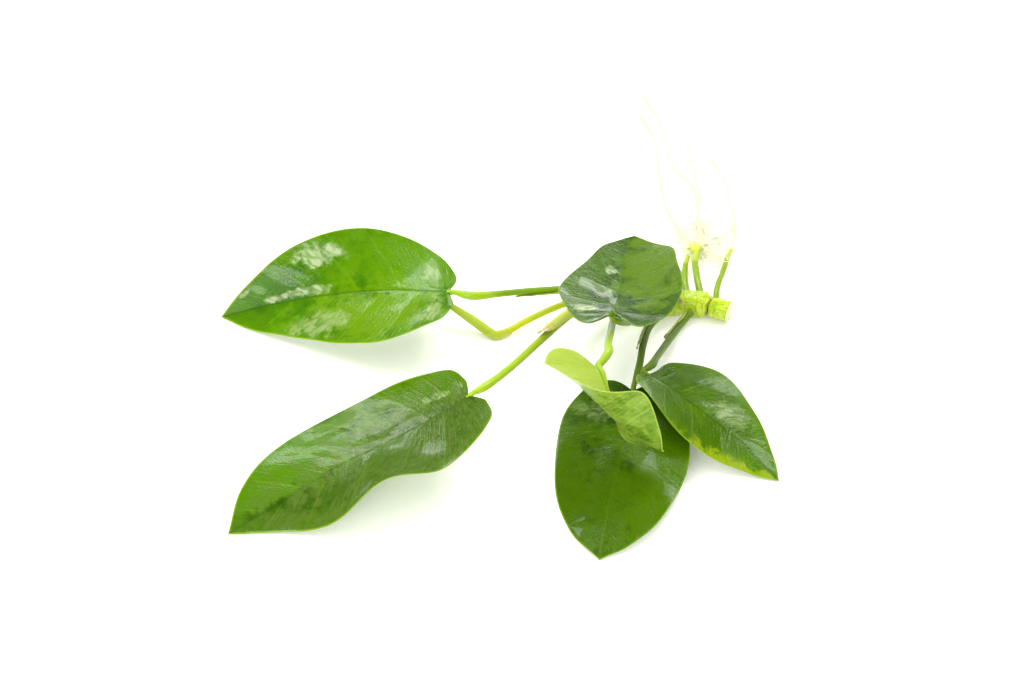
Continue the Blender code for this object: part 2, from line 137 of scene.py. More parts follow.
def unit(vectors: np.ndarray) -> np.ndarray:
    """Scale vectors, one to a row, to a length of 1."""
    return vectors / np.maximum(np.linalg.norm(vectors, axis=-1, keepdims=True), 1e-12)


def waves(places: np.ndarray, seed: int, count: int, longest: float, shortest: float) -> np.ndarray:
    """Sum a few slow waves that run in random directions.

    Args:
        places: Points, one to a row.
        seed: Fixes the directions and phases.
        count: How many waves there are.
        longest: Wavelength of the slowest wave.
        shortest: Wavelength of the fastest wave.

    Returns:
        One value per point, about -1 to 1.
    """
    rng = np.random.default_rng(seed)
    total = np.zeros(places.shape[:-1])
    for index in range(count):
        length = longest * (shortest / longest) ** (index / max(count - 1, 1))
        direction = unit(rng.normal(size=places.shape[-1]))
        total += np.sin(places @ direction * TURN / length + rng.uniform(0.0, TURN))
    return total / math.sqrt(count)


# ---------------------------------------------------------------------------
# Shader trees
# ---------------------------------------------------------------------------


class Graph:
    """Adds nodes to one node tree and wires them together."""

    def __init__(self, tree: bpy.types.NodeTree) -> None:
        """Keep the tree that the nodes go into."""
        self.tree = tree

    def feed(self, socket: bpy.types.NodeSocket, value: Feed) -> None:
        """Link a socket to another one, or set its value.

        Args:
            socket: The input to feed.
            value: A socket to link from, or the number, colour or vector to set.
        """
        if isinstance(value, bpy.types.NodeSocket):
            self.tree.links.new(value, socket)
        elif socket.type == "RGBA" and len(value) == 3:
            socket.default_value = (*value, 1.0)
        else:
            socket.default_value = value

    def node(self, kind: str, feeds: dict | None = None, **settings: object) -> bpy.types.Node:
        """Add a node.

        Args:
            kind: The node's type name.
            feeds: What goes into its inputs, by name or index.
            **settings: The node's own options.

        Returns:
            The new node.
        """
        made = self.tree.nodes.new(kind)
        for name, value in settings.items():
            setattr(made, name, value)
        for name, value in (feeds or {}).items():
            self.feed(made.inputs[name], value)
        return made

    def math(self, operation: str, *values: Feed) -> bpy.types.NodeSocket:
        """Add a Math node on the given values."""
        return self.node("ShaderNodeMath", dict(enumerate(values)), operation=operation).outputs[0]

    def vector(self, operation: str, *values: Feed) -> bpy.types.NodeSocket:
        """Add a Vector Math node on the given values."""
        return self.node("ShaderNodeVectorMath", dict(enumerate(values)),
                         operation=operation).outputs[0]

    def scaled(self, vector: Feed, amount: Feed) -> bpy.types.NodeSocket:
        """Scale a vector by one number."""
        made = self.node("ShaderNodeVectorMath", {0: vector, "Scale": amount}, operation="SCALE")
        return made.outputs[0]

    def rise(self, value: Feed, low: Feed, high: Feed, start: Feed = 0.0, end: Feed = 1.0
             ) -> bpy.types.NodeSocket:
        """Map a value smoothly from one range to another.

        Args:
            value: What is mapped.
            low: Where the rise starts.
            high: Where it ends.
            start: Result at and below low.
            end: Result at and above high.

        Returns:
            The mapped value.
        """
        feeds = {"Value": value, "From Min": low, "From Max": high, "To Min": start, "To Max": end}
        return self.node("ShaderNodeMapRange", feeds, interpolation_type="SMOOTHSTEP").outputs[0]

    def blend(self, share: Feed, first: Feed, second: Feed) -> bpy.types.NodeSocket:
        """Mix two colours by a share."""
        made = self.node("ShaderNodeMix", {0: share, 6: first, 7: second}, data_type="RGBA")
        return made.outputs[2]

    def tinted(self, colour: Feed, other: Feed, mask: Feed, share: Feed) -> bpy.types.NodeSocket:
        """Mix a colour towards another one by a share of a mask."""
        return self.blend(self.math("MULTIPLY", mask, share), colour, other)

    def noise(self, vector: Feed, scale: Feed, detail: float = 2.0, rough: float = 0.5,
              warp: float = 0.0) -> bpy.types.NodeSocket:
        """Add a noise texture.

        Args:
            vector: Where it is read.
            scale: Cells per metre, or per unit of the vector.
            detail: Octaves.
            rough: How strong the finer octaves are.
            warp: How far it is pushed about.

        Returns:
            A value about 0.5.
        """
        feeds = {"Vector": vector, "Scale": scale, "Detail": detail, "Roughness": rough,
                 "Distortion": warp}
        return self.node("ShaderNodeTexNoise", feeds).outputs[0]

    def attribute(self, name: str) -> bpy.types.Node:
        """Read one of the piece's own attributes."""
        return self.node("ShaderNodeAttribute", attribute_name=name)

    def split(self, vector: Feed) -> list[bpy.types.NodeSocket]:
        """Split a vector into its three numbers."""
        return list(self.node("ShaderNodeSeparateXYZ", {0: vector}).outputs)

    def joined(self, x: Feed, y: Feed, z: Feed) -> bpy.types.NodeSocket:
        """Make a vector of three numbers."""
        return self.node("ShaderNodeCombineXYZ", {0: x, 1: y, 2: z}).outputs[0]


class Effect(Enum):
    """The shared shader effects, named as their node groups are."""

    LEAF_VEINS = "leaf veins"
    WATER_FILM = "water film"
    MOTTLE = "mottled tissue"
    STREAKS = "length streaks"


def effect_tree(effect: Effect, inputs: dict[str, float | None], outputs: tuple[str, ...]
                ) -> tuple[bpy.types.NodeTree, Graph, dict, dict]:
    """Start a shared shader effect with its named sockets.

    Args:
        effect: Which effect it is.
        inputs: Default of each input; None stands for a vector.
        outputs: Names of the outputs, each a number.

    Returns:
        The tree, its graph, its inputs to read and its outputs to feed.
    """
    tree = bpy.data.node_groups.new(effect.value, "ShaderNodeTree")
    for name, default in inputs.items():
        kind = "NodeSocketVector" if default is None else "NodeSocketFloat"
        socket = tree.interface.new_socket(name, in_out="INPUT", socket_type=kind)
        if default is not None:
            socket.default_value = default
    for name in outputs:
        tree.interface.new_socket(name, in_out="OUTPUT", socket_type="NodeSocketFloat")
    graph = Graph(tree)
    start = graph.node("NodeGroupInput")
    end = graph.node("NodeGroupOutput")
    return tree, graph, start.outputs, end.inputs


def leaf_veins() -> bpy.types.NodeTree:
    """Build the effect that draws the rib, side veins and fine lines of a blade.

    Place is (distance from the rib in mm, side vein number, distance from the margin in mm).

    Returns:
        The node group.
    """
    inputs = {"Place": None, "Position": None, "Rib Width": 0.42, "Vein Width": 0.045,
              "Lines": 7.0, "Waviness": 0.12}
    outputs = ("Rib", "Veins", "Lines", "Net", "Rim")
    tree, g, given, out = effect_tree(Effect.LEAF_VEINS, inputs, outputs)
    across, number, edge = g.split(given["Place"])
    wobble = g.math("SUBTRACT", g.noise(given["Position"], 260.0, 3.0), 0.5)
    number = g.math("MULTIPLY_ADD", wobble, given["Waviness"], number)
    away = g.math("ABSOLUTE", across)
    g.feed(out["Rib"], g.rise(away, g.math("MULTIPLY", given["Rib Width"], 1.4),
                              g.math("MULTIPLY", given["Rib Width"], 0.3)))
    gap = g.math("PINGPONG", number, 0.5)
    start = g.rise(away, 0.3, 1.2)
    vein = g.rise(gap, given["Vein Width"], g.math("MULTIPLY", given["Vein Width"], 0.25))
    g.feed(out["Veins"],
           g.math("MULTIPLY", vein, g.math("MULTIPLY", start, g.rise(edge, 0.2, 2.5))))
    fine = g.math("PINGPONG", g.math("MULTIPLY", number, given["Lines"]), 0.5)
    g.feed(out["Lines"], g.math("MULTIPLY", g.rise(fine, 0.22, 0.03), start))
    cells = g.node("ShaderNodeTexVoronoi", {"Vector": given["Position"], "Scale": 1150.0},
                   feature="DISTANCE_TO_EDGE")
    g.feed(out["Net"], g.rise(cells.outputs[0], 0.12, 0.01))
    g.feed(out["Rim"], g.rise(edge, 0.38, 0.03))
    return tree


def water_film() -> bpy.types.NodeTree:
    """Build the effect that says where water lies in a smooth film and where it has drawn back.

    Returns:
        The node group.
    """
    inputs = {"Position": None, "Scale": 90.0, "Cover": 0.5, "Seed": 0.0}
    tree, g, given, out = effect_tree(Effect.WATER_FILM, inputs, ("Film", "Ripple"))
    moved = g.vector("ADD", given["Position"], g.joined(given["Seed"], 0.0, 0.0))
    broad = g.noise(moved, given["Scale"], 2.5, 0.55, 0.6)
    level = g.math("SUBTRACT", 0.86, g.math("MULTIPLY", given["Cover"], 0.72))
    g.feed(out["Film"],
           g.rise(broad, g.math("SUBTRACT", level, 0.035), g.math("ADD", level, 0.035)))
    g.feed(out["Ripple"], g.noise(moved, g.math("MULTIPLY", given["Scale"], 8.0), 2.5, 0.5, 0.6))
    return tree


def mottled_tissue() -> bpy.types.NodeTree:
    """Build the effect that gives living tissue its uneven depth of colour.

    Returns:
        The node group.
    """
    inputs = {"Position": None, "Broad": 60.0, "Fine": 1400.0, "Seed": 0.0}
    tree, g, given, out = effect_tree(Effect.MOTTLE, inputs, ("Broad", "Fine"))
    moved = g.vector("ADD", given["Position"], g.joined(0.0, given["Seed"], 0.0))
    g.feed(out["Broad"], g.rise(g.noise(moved, given["Broad"], 3.0, 0.55), 0.30, 0.70))
    g.feed(out["Fine"], g.rise(g.noise(moved, given["Fine"], 2.0, 0.6), 0.30, 0.70))
    return tree


def length_streaks() -> bpy.types.NodeTree:
    """Build the effect that runs fine fibres along a stalk or root.

    Ring is the unit vector around the piece and Along its distance along the path in metres.

    Returns:
        The node group.
    """
    inputs = {"Ring": None, "Along": 0.0, "Fineness": 9.0, "Stretch": 60.0, "Seed": 0.0}
    tree, g, given, out = effect_tree(Effect.STREAKS, inputs, ("Streak", "Dots"))
    x, y, _ = g.split(given["Ring"])
    fine = given["Fineness"]
    run = g.math("MULTIPLY_ADD", given["Along"], given["Stretch"], given["Seed"])
    place = g.joined(g.math("MULTIPLY", x, fine), g.math("MULTIPLY", y, fine), run)
    g.feed(out["Streak"], g.rise(g.noise(place, 1.0, 3.0, 0.6), 0.28, 0.72))
    dense = g.joined(g.math("MULTIPLY", x, fine), g.math("MULTIPLY", y, fine),
                     g.math("MULTIPLY", run, 6.0))
    g.feed(out["Dots"], g.rise(g.noise(dense, 2.2, 1.0, 0.5), 0.62, 0.74))
    return tree


EFFECT_BUILDERS = {
    Effect.LEAF_VEINS: leaf_veins,
    Effect.WATER_FILM: water_film,
    Effect.MOTTLE: mottled_tissue,
    Effect.STREAKS: length_streaks,
}


def use_effect(graph: Graph, effect: Effect,
               feeds: dict[str, Feed]) -> bpy.types.bpy_prop_collection:
    """Place a shared effect in a material.

    Args:
        graph: The material's graph.
        effect: Which effect.
        feeds: What goes into its named inputs.

    Returns:
        Its named outputs.
    """
    tree = bpy.data.node_groups.get(effect.value) or EFFECT_BUILDERS[effect]()
    made = graph.node("ShaderNodeGroup", node_tree=tree)
    for name, value in feeds.items():
        graph.feed(made.inputs[name], value)
    return made.outputs


def new_material(name: str, constants: dict[str, Feed]) -> tuple[bpy.types.Material, Graph, dict]:
    """Start a material from one Principled shader.

    Args:
        name: The material's name.
        constants: Values set on the shader's own inputs.

    Returns:
        The material, its graph and the shader's inputs.
    """
    material = bpy.data.materials.new(name)
    material.use_nodes = True
    graph = Graph(material.node_tree)
    shader = material.node_tree.nodes["Principled BSDF"]
    shader.subsurface_method = "RANDOM_WALK"
    for socket, value in constants.items():
        graph.feed(shader.inputs[socket], value)
    return material, graph, shader.inputs


def object_place(graph: Graph) -> bpy.types.NodeSocket:
    """Read where a point of the piece is, in metres."""
    return graph.node("ShaderNodeTexCoord").outputs["Object"]


def bumped(graph: Graph, height: Feed, depth_mm: float, strength: float) -> bpy.types.NodeSocket:
    """Turn a height into a normal.

    Args:
        graph: The material's graph.
        height: Height from 0 to 1.
        depth_mm: How deep a height of 1 is, in millimetres.
        strength: How much of the bump shows.

    Returns:
        The normal.
    """
    feeds = {"Height": height, "Distance": depth_mm * MM, "Strength": strength}
    return graph.node("ShaderNodeBump", feeds).outputs[0]


# ---------------------------------------------------------------------------
# Finishes
# ---------------------------------------------------------------------------


@dataclass(frozen=True)
class Patch:
    """A soft patch of another colour on a blade.

    across and along are its middle, from -1 at the right margin to 1 at the left one and from 0
    at the base to 1 at the tip. reach is its size as shares of the whole width and length, and
    spread says how far its edge fades.
    """

    across: float
    along: float
    reach: tuple[float, float]
    colour: Colour
    strength: float = 1.0
    spread: float = 0.8


@dataclass(frozen=True)
class LeafFinish:
    """Wet leaf tissue with its veins, for one blade.

    patches are of another green; the other list holds painted highlights, the water film's pale
    sheen and glare and a few darker spots painted into the upper face's colour.
    """

    name: str
    slot: str
    deep: Colour
    main: Colour
    light: Colour
    vein: Colour
    rib: Colour
    under: Colour
    rim: Colour
    vein_share: float = 0.20
    line_share: float = 0.02
    rib_share: float = 0.35
    edge_glow: float = 0.25
    cover: float = 0.62
    film_scale: float = 70.0
    seed: float = 0.0
    patches: tuple[Patch, ...] = ()
    # painted highlights: sheen and glare of the water film painted into the upper face's colour
    painted_reflections: tuple[Patch, ...] = ()
    dryness: float = 0.30

    def material(self) -> bpy.types.Material:
        """Build the material.

        Returns:
            The finished material.
        """
        constants = {"Subsurface Weight": 0.12, "Subsurface Radius": (0.35, 0.6, 0.08),
                     "Subsurface Scale": 0.0016, "Coat Roughness": 0.04, "Coat IOR": WATER_IOR,
                     "IOR": 1.42, "Specular IOR Level": 0.23}
        made, g, shader = new_material(self.name, constants)
        position = object_place(g)
        place = g.attribute("leaf_place").outputs["Vector"]
        face = g.attribute("leaf_face").outputs["Fac"]
        across, along, _ = g.split(g.node("ShaderNodeUVMap", uv_map="leaf").outputs[0])
        away, number, edge = g.split(place)
        veins = use_effect(g, Effect.LEAF_VEINS, {"Place": place, "Position": position})
        tissue = use_effect(g, Effect.MOTTLE, {"Position": position, "Seed": self.seed})
        blotch = use_effect(g, Effect.MOTTLE, {"Position": position, "Broad": 190.0, "Fine": 520.0,
                                               "Seed": self.seed + 3.0})
        lie = g.joined(g.math("MULTIPLY", away, FILM_ACROSS),
                       g.math("MULTIPLY", number, FILM_ALONG),
                       0.0)
        film = use_effect(g, Effect.WATER_FILM, {"Position": lie, "Scale": self.film_scale * 2.0,
                                                 "Cover": self.cover, "Seed": self.seed})
        depth = g.math("MULTIPLY_ADD", blotch["Broad"], 0.55,
                       g.math("MULTIPLY", tissue["Broad"], 0.45))
        colour = g.blend(depth, self.deep, self.main)
        colour = g.tinted(colour, self.light, g.rise(edge, 5.0, 0.4), self.edge_glow)
        for patch in self.patches:
            colour = g.blend(self.patch_share(g, patch, across, along, blotch), colour,
                             patch.colour)
        fine = g.math("MULTIPLY_ADD", tissue["Fine"], 0.06,
                      g.math("MULTIPLY", blotch["Fine"], 0.10))
        colour = g.blend(fine, colour, self.light)
        colour = g.tinted(colour, self.light, veins["Lines"], self.line_share)
        colour = g.tinted(colour, self.light, veins["Net"], 0.05)
        colour = g.tinted(colour, self.vein, veins["Veins"], self.vein_share)
        colour = g.tinted(colour, self.rib, veins["Rib"], self.rib_share)
        under = g.tinted(self.under, self.light, tissue["Broad"], 0.35)
        under = g.tinted(under, self.vein, veins["Lines"], 0.45)
        under = g.tinted(under, self.vein, veins["Veins"], 0.5)
        under = g.tinted(under, self.rib, veins["Rib"], 0.7)
        colour = g.blend(face, under, colour)
        # Painted highlights: the water film's sheen and glare painted into the upper face's colour,
        # broken up by the film's ripple.
        highlight_breakup = g.math("MULTIPLY_ADD", g.rise(film["Ripple"], 0.40, 0.60), 0.65, 0.35)
        for patch in self.painted_reflections:
            share = g.math("MULTIPLY", self.patch_share(g, patch, across, along, blotch), highlight_breakup)
            colour = g.tinted(colour, patch.colour, share, face)
        colour = g.tinted(colour, self.rim, veins["Rim"], 0.85)
        g.feed(shader["Base Color"], colour)
        dry = g.math("MULTIPLY_ADD", tissue["Fine"], 0.10, self.dryness)
        g.feed(shader["Roughness"],
               g.math("MULTIPLY_ADD", film["Film"], WET_ROUGHNESS - self.dryness, dry))
        g.feed(shader["Coat Weight"], g.math("MULTIPLY", film["Film"], 0.25))
        height = g.math("MULTIPLY_ADD", veins["Lines"], -0.35,
                        g.math("MULTIPLY", tissue["Fine"], 0.5))
        height = g.math("MULTIPLY_ADD", veins["Net"], -0.25, height)
        height = g.math("MULTIPLY_ADD", film["Film"], 0.8, height)
        height = g.math("MULTIPLY_ADD", film["Ripple"], 1.6, height)
        g.feed(shader["Normal"], bumped(g, height, 0.08, 0.9))
        return made

    def patch_share(self, g: Graph, patch: Patch, across: Feed, along: Feed,
                    tissue: dict) -> bpy.types.NodeSocket:
        """Shape one patch.

        Args:
            g: The material's graph.
            patch: The patch.
            across: The blade's across coordinate, 0 to 1.
            along: The blade's along coordinate, 0 to 1.
            tissue: Outputs of the mottle effect.

        Returns:
            How much of the patch's colour shows.
        """
        side = g.math("DIVIDE", g.math("SUBTRACT", across, 0.5 + 0.5 * patch.across),
                      patch.reach[0])
        length = g.math("DIVIDE", g.math("SUBTRACT", along, patch.along), patch.reach[1])
        away = g.math("SQRT",
                      g.math("ADD", g.math("POWER", side, 2.0), g.math("POWER", length, 2.0)))
        uneven = g.math("MULTIPLY_ADD", tissue["Broad"], -0.7, away)
        uneven = g.math("MULTIPLY_ADD", tissue["Fine"], -0.35, uneven)
        return g.math("MULTIPLY", g.rise(uneven, patch.spread, 0.0), patch.strength)


@dataclass(frozen=True)
class StemFinish:
    """Skin of a stalk or a root, with fibres along it and another colour at each end."""

    name: str
    slot: str
    base: Colour
    main: Colour
    tip: Colour
    streak: Colour
    base_reach: float = 0.08
    tip_start: float = 0.86
    streak_share: float = 0.35
    dot_share: float = 0.15
    fineness: float = 7.0
    roughness: float = 0.26
    coat: float = 0.35
    glow: float = 0.2
    seed: float = 0.0

    def material(self) -> bpy.types.Material:
        """Build the material.

        Returns:
            The finished material.
        """
        constants = {"Subsurface Weight": self.glow, "Subsurface Radius": (0.6, 0.8, 0.15),
                     "Subsurface Scale": 0.002, "Coat Roughness": 0.05, "Coat IOR": WATER_IOR,
                     "Specular IOR Level": 0.3}
        made, g, shader = new_material(self.name, constants)
        position = object_place(g)
        along = g.attribute("along").outputs["Fac"]
        feeds = {"Ring": g.attribute("ring").outputs["Vector"],
                 "Along": g.attribute("run").outputs["Fac"], "Fineness": self.fineness,
                 "Seed": self.seed}
        fibres = use_effect(g, Effect.STREAKS, feeds)
        tissue = use_effect(g, Effect.MOTTLE, {"Position": position, "Broad": 180.0,
                                               "Seed": self.seed})
        film = use_effect(g, Effect.WATER_FILM, {"Position": position, "Scale": 240.0,
                                                 "Cover": 0.6, "Seed": self.seed})
        shift = g.math("MULTIPLY_ADD", tissue["Broad"], 0.05, along)
        colour = g.blend(g.rise(shift, 0.0, self.base_reach), self.base, self.main)
        colour = g.blend(g.rise(shift, self.tip_start - 0.06, self.tip_start + 0.03), colour,
                         self.tip)
        colour = g.tinted(colour, self.streak, fibres["Streak"], self.streak_share)
        colour = g.tinted(colour, self.base, fibres["Dots"], self.dot_share)
        g.feed(shader["Base Color"], colour)
        g.feed(shader["Roughness"], g.math("MULTIPLY_ADD", fibres["Streak"], 0.12, self.roughness))
        g.feed(shader["Coat Weight"], g.math("MULTIPLY", film["Film"], self.coat))
        height = g.math("MULTIPLY_ADD", fibres["Streak"], 0.8,
                        g.math("MULTIPLY", film["Ripple"], 0.6))
        g.feed(shader["Normal"], bumped(g, height, 0.08, 0.7))
        return made


@dataclass(frozen=True)
class SheathFinish:
    """Papery sheath with fine parallel veins and a faded tip."""

    name: str
    slot: str
    base: Colour
    main: Colour
    tip: Colour
    line: Colour
    tip_start: float = 0.86
    seed: float = 0.0

    def material(self) -> bpy.types.Material:
        """Build the material.

        Returns:
            The finished material.
        """
        constants = {"Subsurface Weight": 0.35, "Subsurface Radius": (0.8, 0.8, 0.4),
                     "Subsurface Scale": 0.0015, "Coat Roughness": 0.08, "Coat IOR": WATER_IOR}
        made, g, shader = new_material(self.name, constants)
        position = object_place(g)
        across, along, _ = g.split(g.node("ShaderNodeUVMap", uv_map="sheath").outputs[0])
        tissue = use_effect(g, Effect.MOTTLE, {"Position": position, "Broad": 260.0,
                                               "Fine": 1800.0, "Seed": self.seed})
        film = use_effect(g, Effect.WATER_FILM, {"Position": position, "Scale": 200.0,
                                                 "Cover": 0.5, "Seed": self.seed})
        lines = g.rise(g.math("PINGPONG", g.math("MULTIPLY", across, 13.0), 0.5), 0.24, 0.05)
        place = g.math("MULTIPLY_ADD", tissue["Broad"], 0.16, g.math("SUBTRACT", along, 0.08))
        colour = g.blend(g.rise(place, 0.0, 0.4), self.base, self.main)
        colour = g.blend(g.rise(place, self.tip_start, 0.97), colour, self.tip)
        colour = g.tinted(colour, self.line, lines, 0.4)
        colour = g.tinted(colour, self.tip, tissue["Fine"], 0.15)
        g.feed(shader["Base Color"], colour)
        g.feed(shader["Roughness"], g.math("MULTIPLY_ADD", tissue["Fine"], 0.2, 0.32))
        g.feed(shader["Coat Weight"], g.math("MULTIPLY", film["Film"], 0.6))
        height = g.math("MULTIPLY_ADD", lines, 0.7, g.math("MULTIPLY", tissue["Fine"], 0.4))
        g.feed(shader["Normal"], bumped(g, height, 0.07, 0.8))
        return made


@dataclass(frozen=True)
class RhizomeFinish:
    """Green rhizome skin with brown scars, a browned waist and a pale cut end."""

    name: str
    slot: str
    skin: Colour
    bright: Colour
    scar: Colour
    waist: Colour
    cut: Colour

    def material(self) -> bpy.types.Material:
        """Build the material.

        Returns:
            The finished material.
        """
        constants = {"Subsurface Weight": 0.25, "Subsurface Radius": (0.8, 0.9, 0.2),
                     "Subsurface Scale": 0.002, "Coat Roughness": 0.05, "Coat IOR": WATER_IOR}
        made, g, shader = new_material(self.name, constants)
        position = object_place(g)
        scar, waist, cut = g.split(g.attribute("marks").outputs["Vector"])
        tissue = use_effect(g, Effect.MOTTLE, {"Position": position, "Broad": 240.0,
                                               "Fine": 2200.0, "Seed": 3.0})
        film = use_effect(g, Effect.WATER_FILM, {"Position": position, "Scale": 330.0,
                                                 "Cover": 0.66, "Seed": 2.0})
        colour = g.blend(tissue["Broad"], self.skin, self.bright)
        colour = g.tinted(colour, self.scar, scar, 0.30)
        colour = g.tinted(colour, self.scar, g.rise(tissue["Fine"], 0.75, 0.95), 0.3)
        fibre = g.noise(g.vector("MULTIPLY", position, (5.0, 1.0, 1.0)), 900.0, 3.0, 0.7)
        colour = g.tinted(colour, self.waist, waist, g.rise(fibre, 0.25, 0.6, 0.55, 1.0))
        rings = g.math("MULTIPLY_ADD", tissue["Fine"], 0.3,
                       g.math("MULTIPLY", tissue["Broad"], 0.5))
        colour = g.tinted(colour, g.blend(rings, self.cut, self.bright), cut, 0.85)
        g.feed(shader["Base Color"], colour)
        g.feed(shader["Roughness"], g.math("MULTIPLY_ADD", waist, 0.35, 0.25))
        wet = g.math("MULTIPLY", film["Film"], g.math("MULTIPLY_ADD", waist, -0.7, 0.95))
        g.feed(shader["Coat Weight"], wet)
        height = g.math("MULTIPLY_ADD", tissue["Fine"], 0.35, g.math("MULTIPLY", fibre, 0.6))
        height = g.math("MULTIPLY_ADD", film["Ripple"], 0.5, height)
        g.feed(shader["Normal"], bumped(g, height, 0.14, 0.8))
        return made


@dataclass(frozen=True)
class FibreFinish:
    """Fine hair or dry fibre that varies from one to the next."""

    name: str
    slot: str
    first: Colour
    second: Colour
    roughness: float = 0.5
    glow: float = 0.3

    def material(self) -> bpy.types.Material:
        """Build the material.

        Returns:
            The finished material.
        """
        constants = {"Subsurface Weight": self.glow, "Subsurface Radius": (0.8, 0.8, 0.5),
                     "Subsurface Scale": 0.001}
        made, g, shader = new_material(self.name, constants)
        position = object_place(g)
        tissue = use_effect(g, Effect.MOTTLE,
                            {"Position": position, "Broad": 420.0, "Fine": 2600.0})
        share = g.math("MULTIPLY_ADD", tissue["Fine"], 0.35,
                       g.math("MULTIPLY", tissue["Broad"], 0.65))
        g.feed(shader["Base Color"], g.blend(share, self.first, self.second))
        g.feed(shader["Roughness"], g.math("MULTIPLY_ADD", tissue["Fine"], 0.2, self.roughness))
        g.feed(shader["Normal"], bumped(g, tissue["Fine"], 0.03, 0.6))
        return made


@dataclass(frozen=True)
class TableFinish:
    """Plain pale surface with a barely uneven tone, lit a little from within."""

    name: str = "pale surface"
    tone: float = 0.93
    glow: float = 0.13
    glow_tone: Colour = (1.0, 0.98, 0.86)

    def material(self) -> bpy.types.Material:
        """Build the material.

        Returns:
            The finished material.
        """
        made, g, shader = new_material(self.name, {"Roughness": 0.6, "Specular IOR Level": 0.25,
                                                   "Emission Color": self.glow_tone,
                                                   "Emission Strength": self.glow})
        cloud = g.noise(object_place(g), 3.0, 2.0)
        level = self.tone
        warm = (level, level * 0.997, level * 0.955)
        cool = (level * 0.985, level * 0.985, level * 0.94)
        g.feed(shader["Base Color"], g.blend(cloud, warm, cool))
        return made


# ---------------------------------------------------------------------------
# Geometry trees
# ---------------------------------------------------------------------------


class Growth(Enum):
    """The Geometry Nodes trees, named as their node groups are."""

    STEM = "stem along a path"
    PATH_HAIRS = "hairs along a path"
    SKIN_FIBRES = "fibres on a skin"


def growth_tree(growth: Growth, inputs: dict[str, tuple[str, object]]) -> tuple[Graph, dict]:
    """Start a Geometry Nodes tree with its named inputs.

    Args:
        growth: Which tree it is.
        inputs: Kind and default of each input after the geometry and before the material.

    Returns:
        The tree's graph and its inputs to read.
    """
    tree = bpy.data.node_groups.new(growth.value, "GeometryNodeTree")
    tree.interface.new_socket("Geometry", in_out="INPUT", socket_type="NodeSocketGeometry")
    for name, (kind, default) in inputs.items():
        tree.interface.new_socket(name, in_out="INPUT", socket_type=kind).default_value = default
    tree.interface.new_socket("Material", in_out="INPUT", socket_type="NodeSocketMaterial")
    tree.interface.new_socket("Geometry", in_out="OUTPUT", socket_type="NodeSocketGeometry")
    graph = Graph(tree)
    return graph, graph.node("NodeGroupInput").outputs


def finish_growth(graph: Graph, shape: Feed, material: Feed) -> bpy.types.NodeTree:
    """End a tree in smooth shading, Realize Instances and Set Material.

    Args:
        graph: The tree's graph.
        shape: The geometry so far.
        material: The material input.

    Returns:
        The finished tree.
    """
    smooth = graph.node("GeometryNodeSetShadeSmooth", {0: shape}).outputs[0]
    real = graph.node("GeometryNodeRealizeInstances", {0: smooth}).outputs[0]
    dressed = graph.node("GeometryNodeSetMaterial", {"Geometry": real, "Material": material})
    end = graph.node("NodeGroupOutput")
    graph.feed(end.inputs[0], dressed.outputs[0])
    return graph.tree


def stored(graph: Graph, shape: Feed, name: str, value: Feed, kind: str = "FLOAT"
           ) -> bpy.types.NodeSocket:
    """Store a value on every point under a name.

    Args:
        graph: The tree's graph.
        shape: The geometry.
        name: The attribute's name.
        value: What it holds.
        kind: Its data type.

    Returns:
        The geometry with the attribute.
    """
    made = graph.node("GeometryNodeStoreNamedAttribute", {"Geometry": shape, "Name": name},
                      data_type=kind, domain="POINT")
    graph.feed(made.inputs["Value"], value)
    return made.outputs[0]


def wandered(graph: Graph, shape: Feed, amount: Feed, scale: Feed,
             seed: Feed) -> bpy.types.NodeSocket:
    """Push the points of a path about, less towards its start.

    Args:
        graph: The tree's graph.
        shape: The path.
        amount: How far, in metres.
        scale: Bends per metre.
        seed: Fixes the bends.

    Returns:
        The path with its bends.
    """
    here = graph.node("GeometryNodeInputPosition").outputs[0]
    feeds = {"Vector": here, "W": seed, "Scale": scale, "Detail": 2.0}
    noise = graph.node("ShaderNodeTexNoise", feeds, noise_dimensions="4D").outputs[1]
    push = graph.vector("SUBTRACT", noise, (0.5, 0.5, 0.5))
    place = graph.node("GeometryNodeSplineParameter").outputs["Factor"]
    free = graph.math("MULTIPLY", graph.rise(place, 0.0, 0.15), amount)
    moved = graph.node("GeometryNodeSetPosition", {"Geometry": shape,
                                                   "Offset": graph.scaled(push, free)})
    return moved.outputs[0]


BEND_INPUTS = {"Wander": ("NodeSocketFloat", 0.0), "Wander Scale": ("NodeSocketFloat", 120.0),
               "Bend Seed": ("NodeSocketFloat", 0.0)}


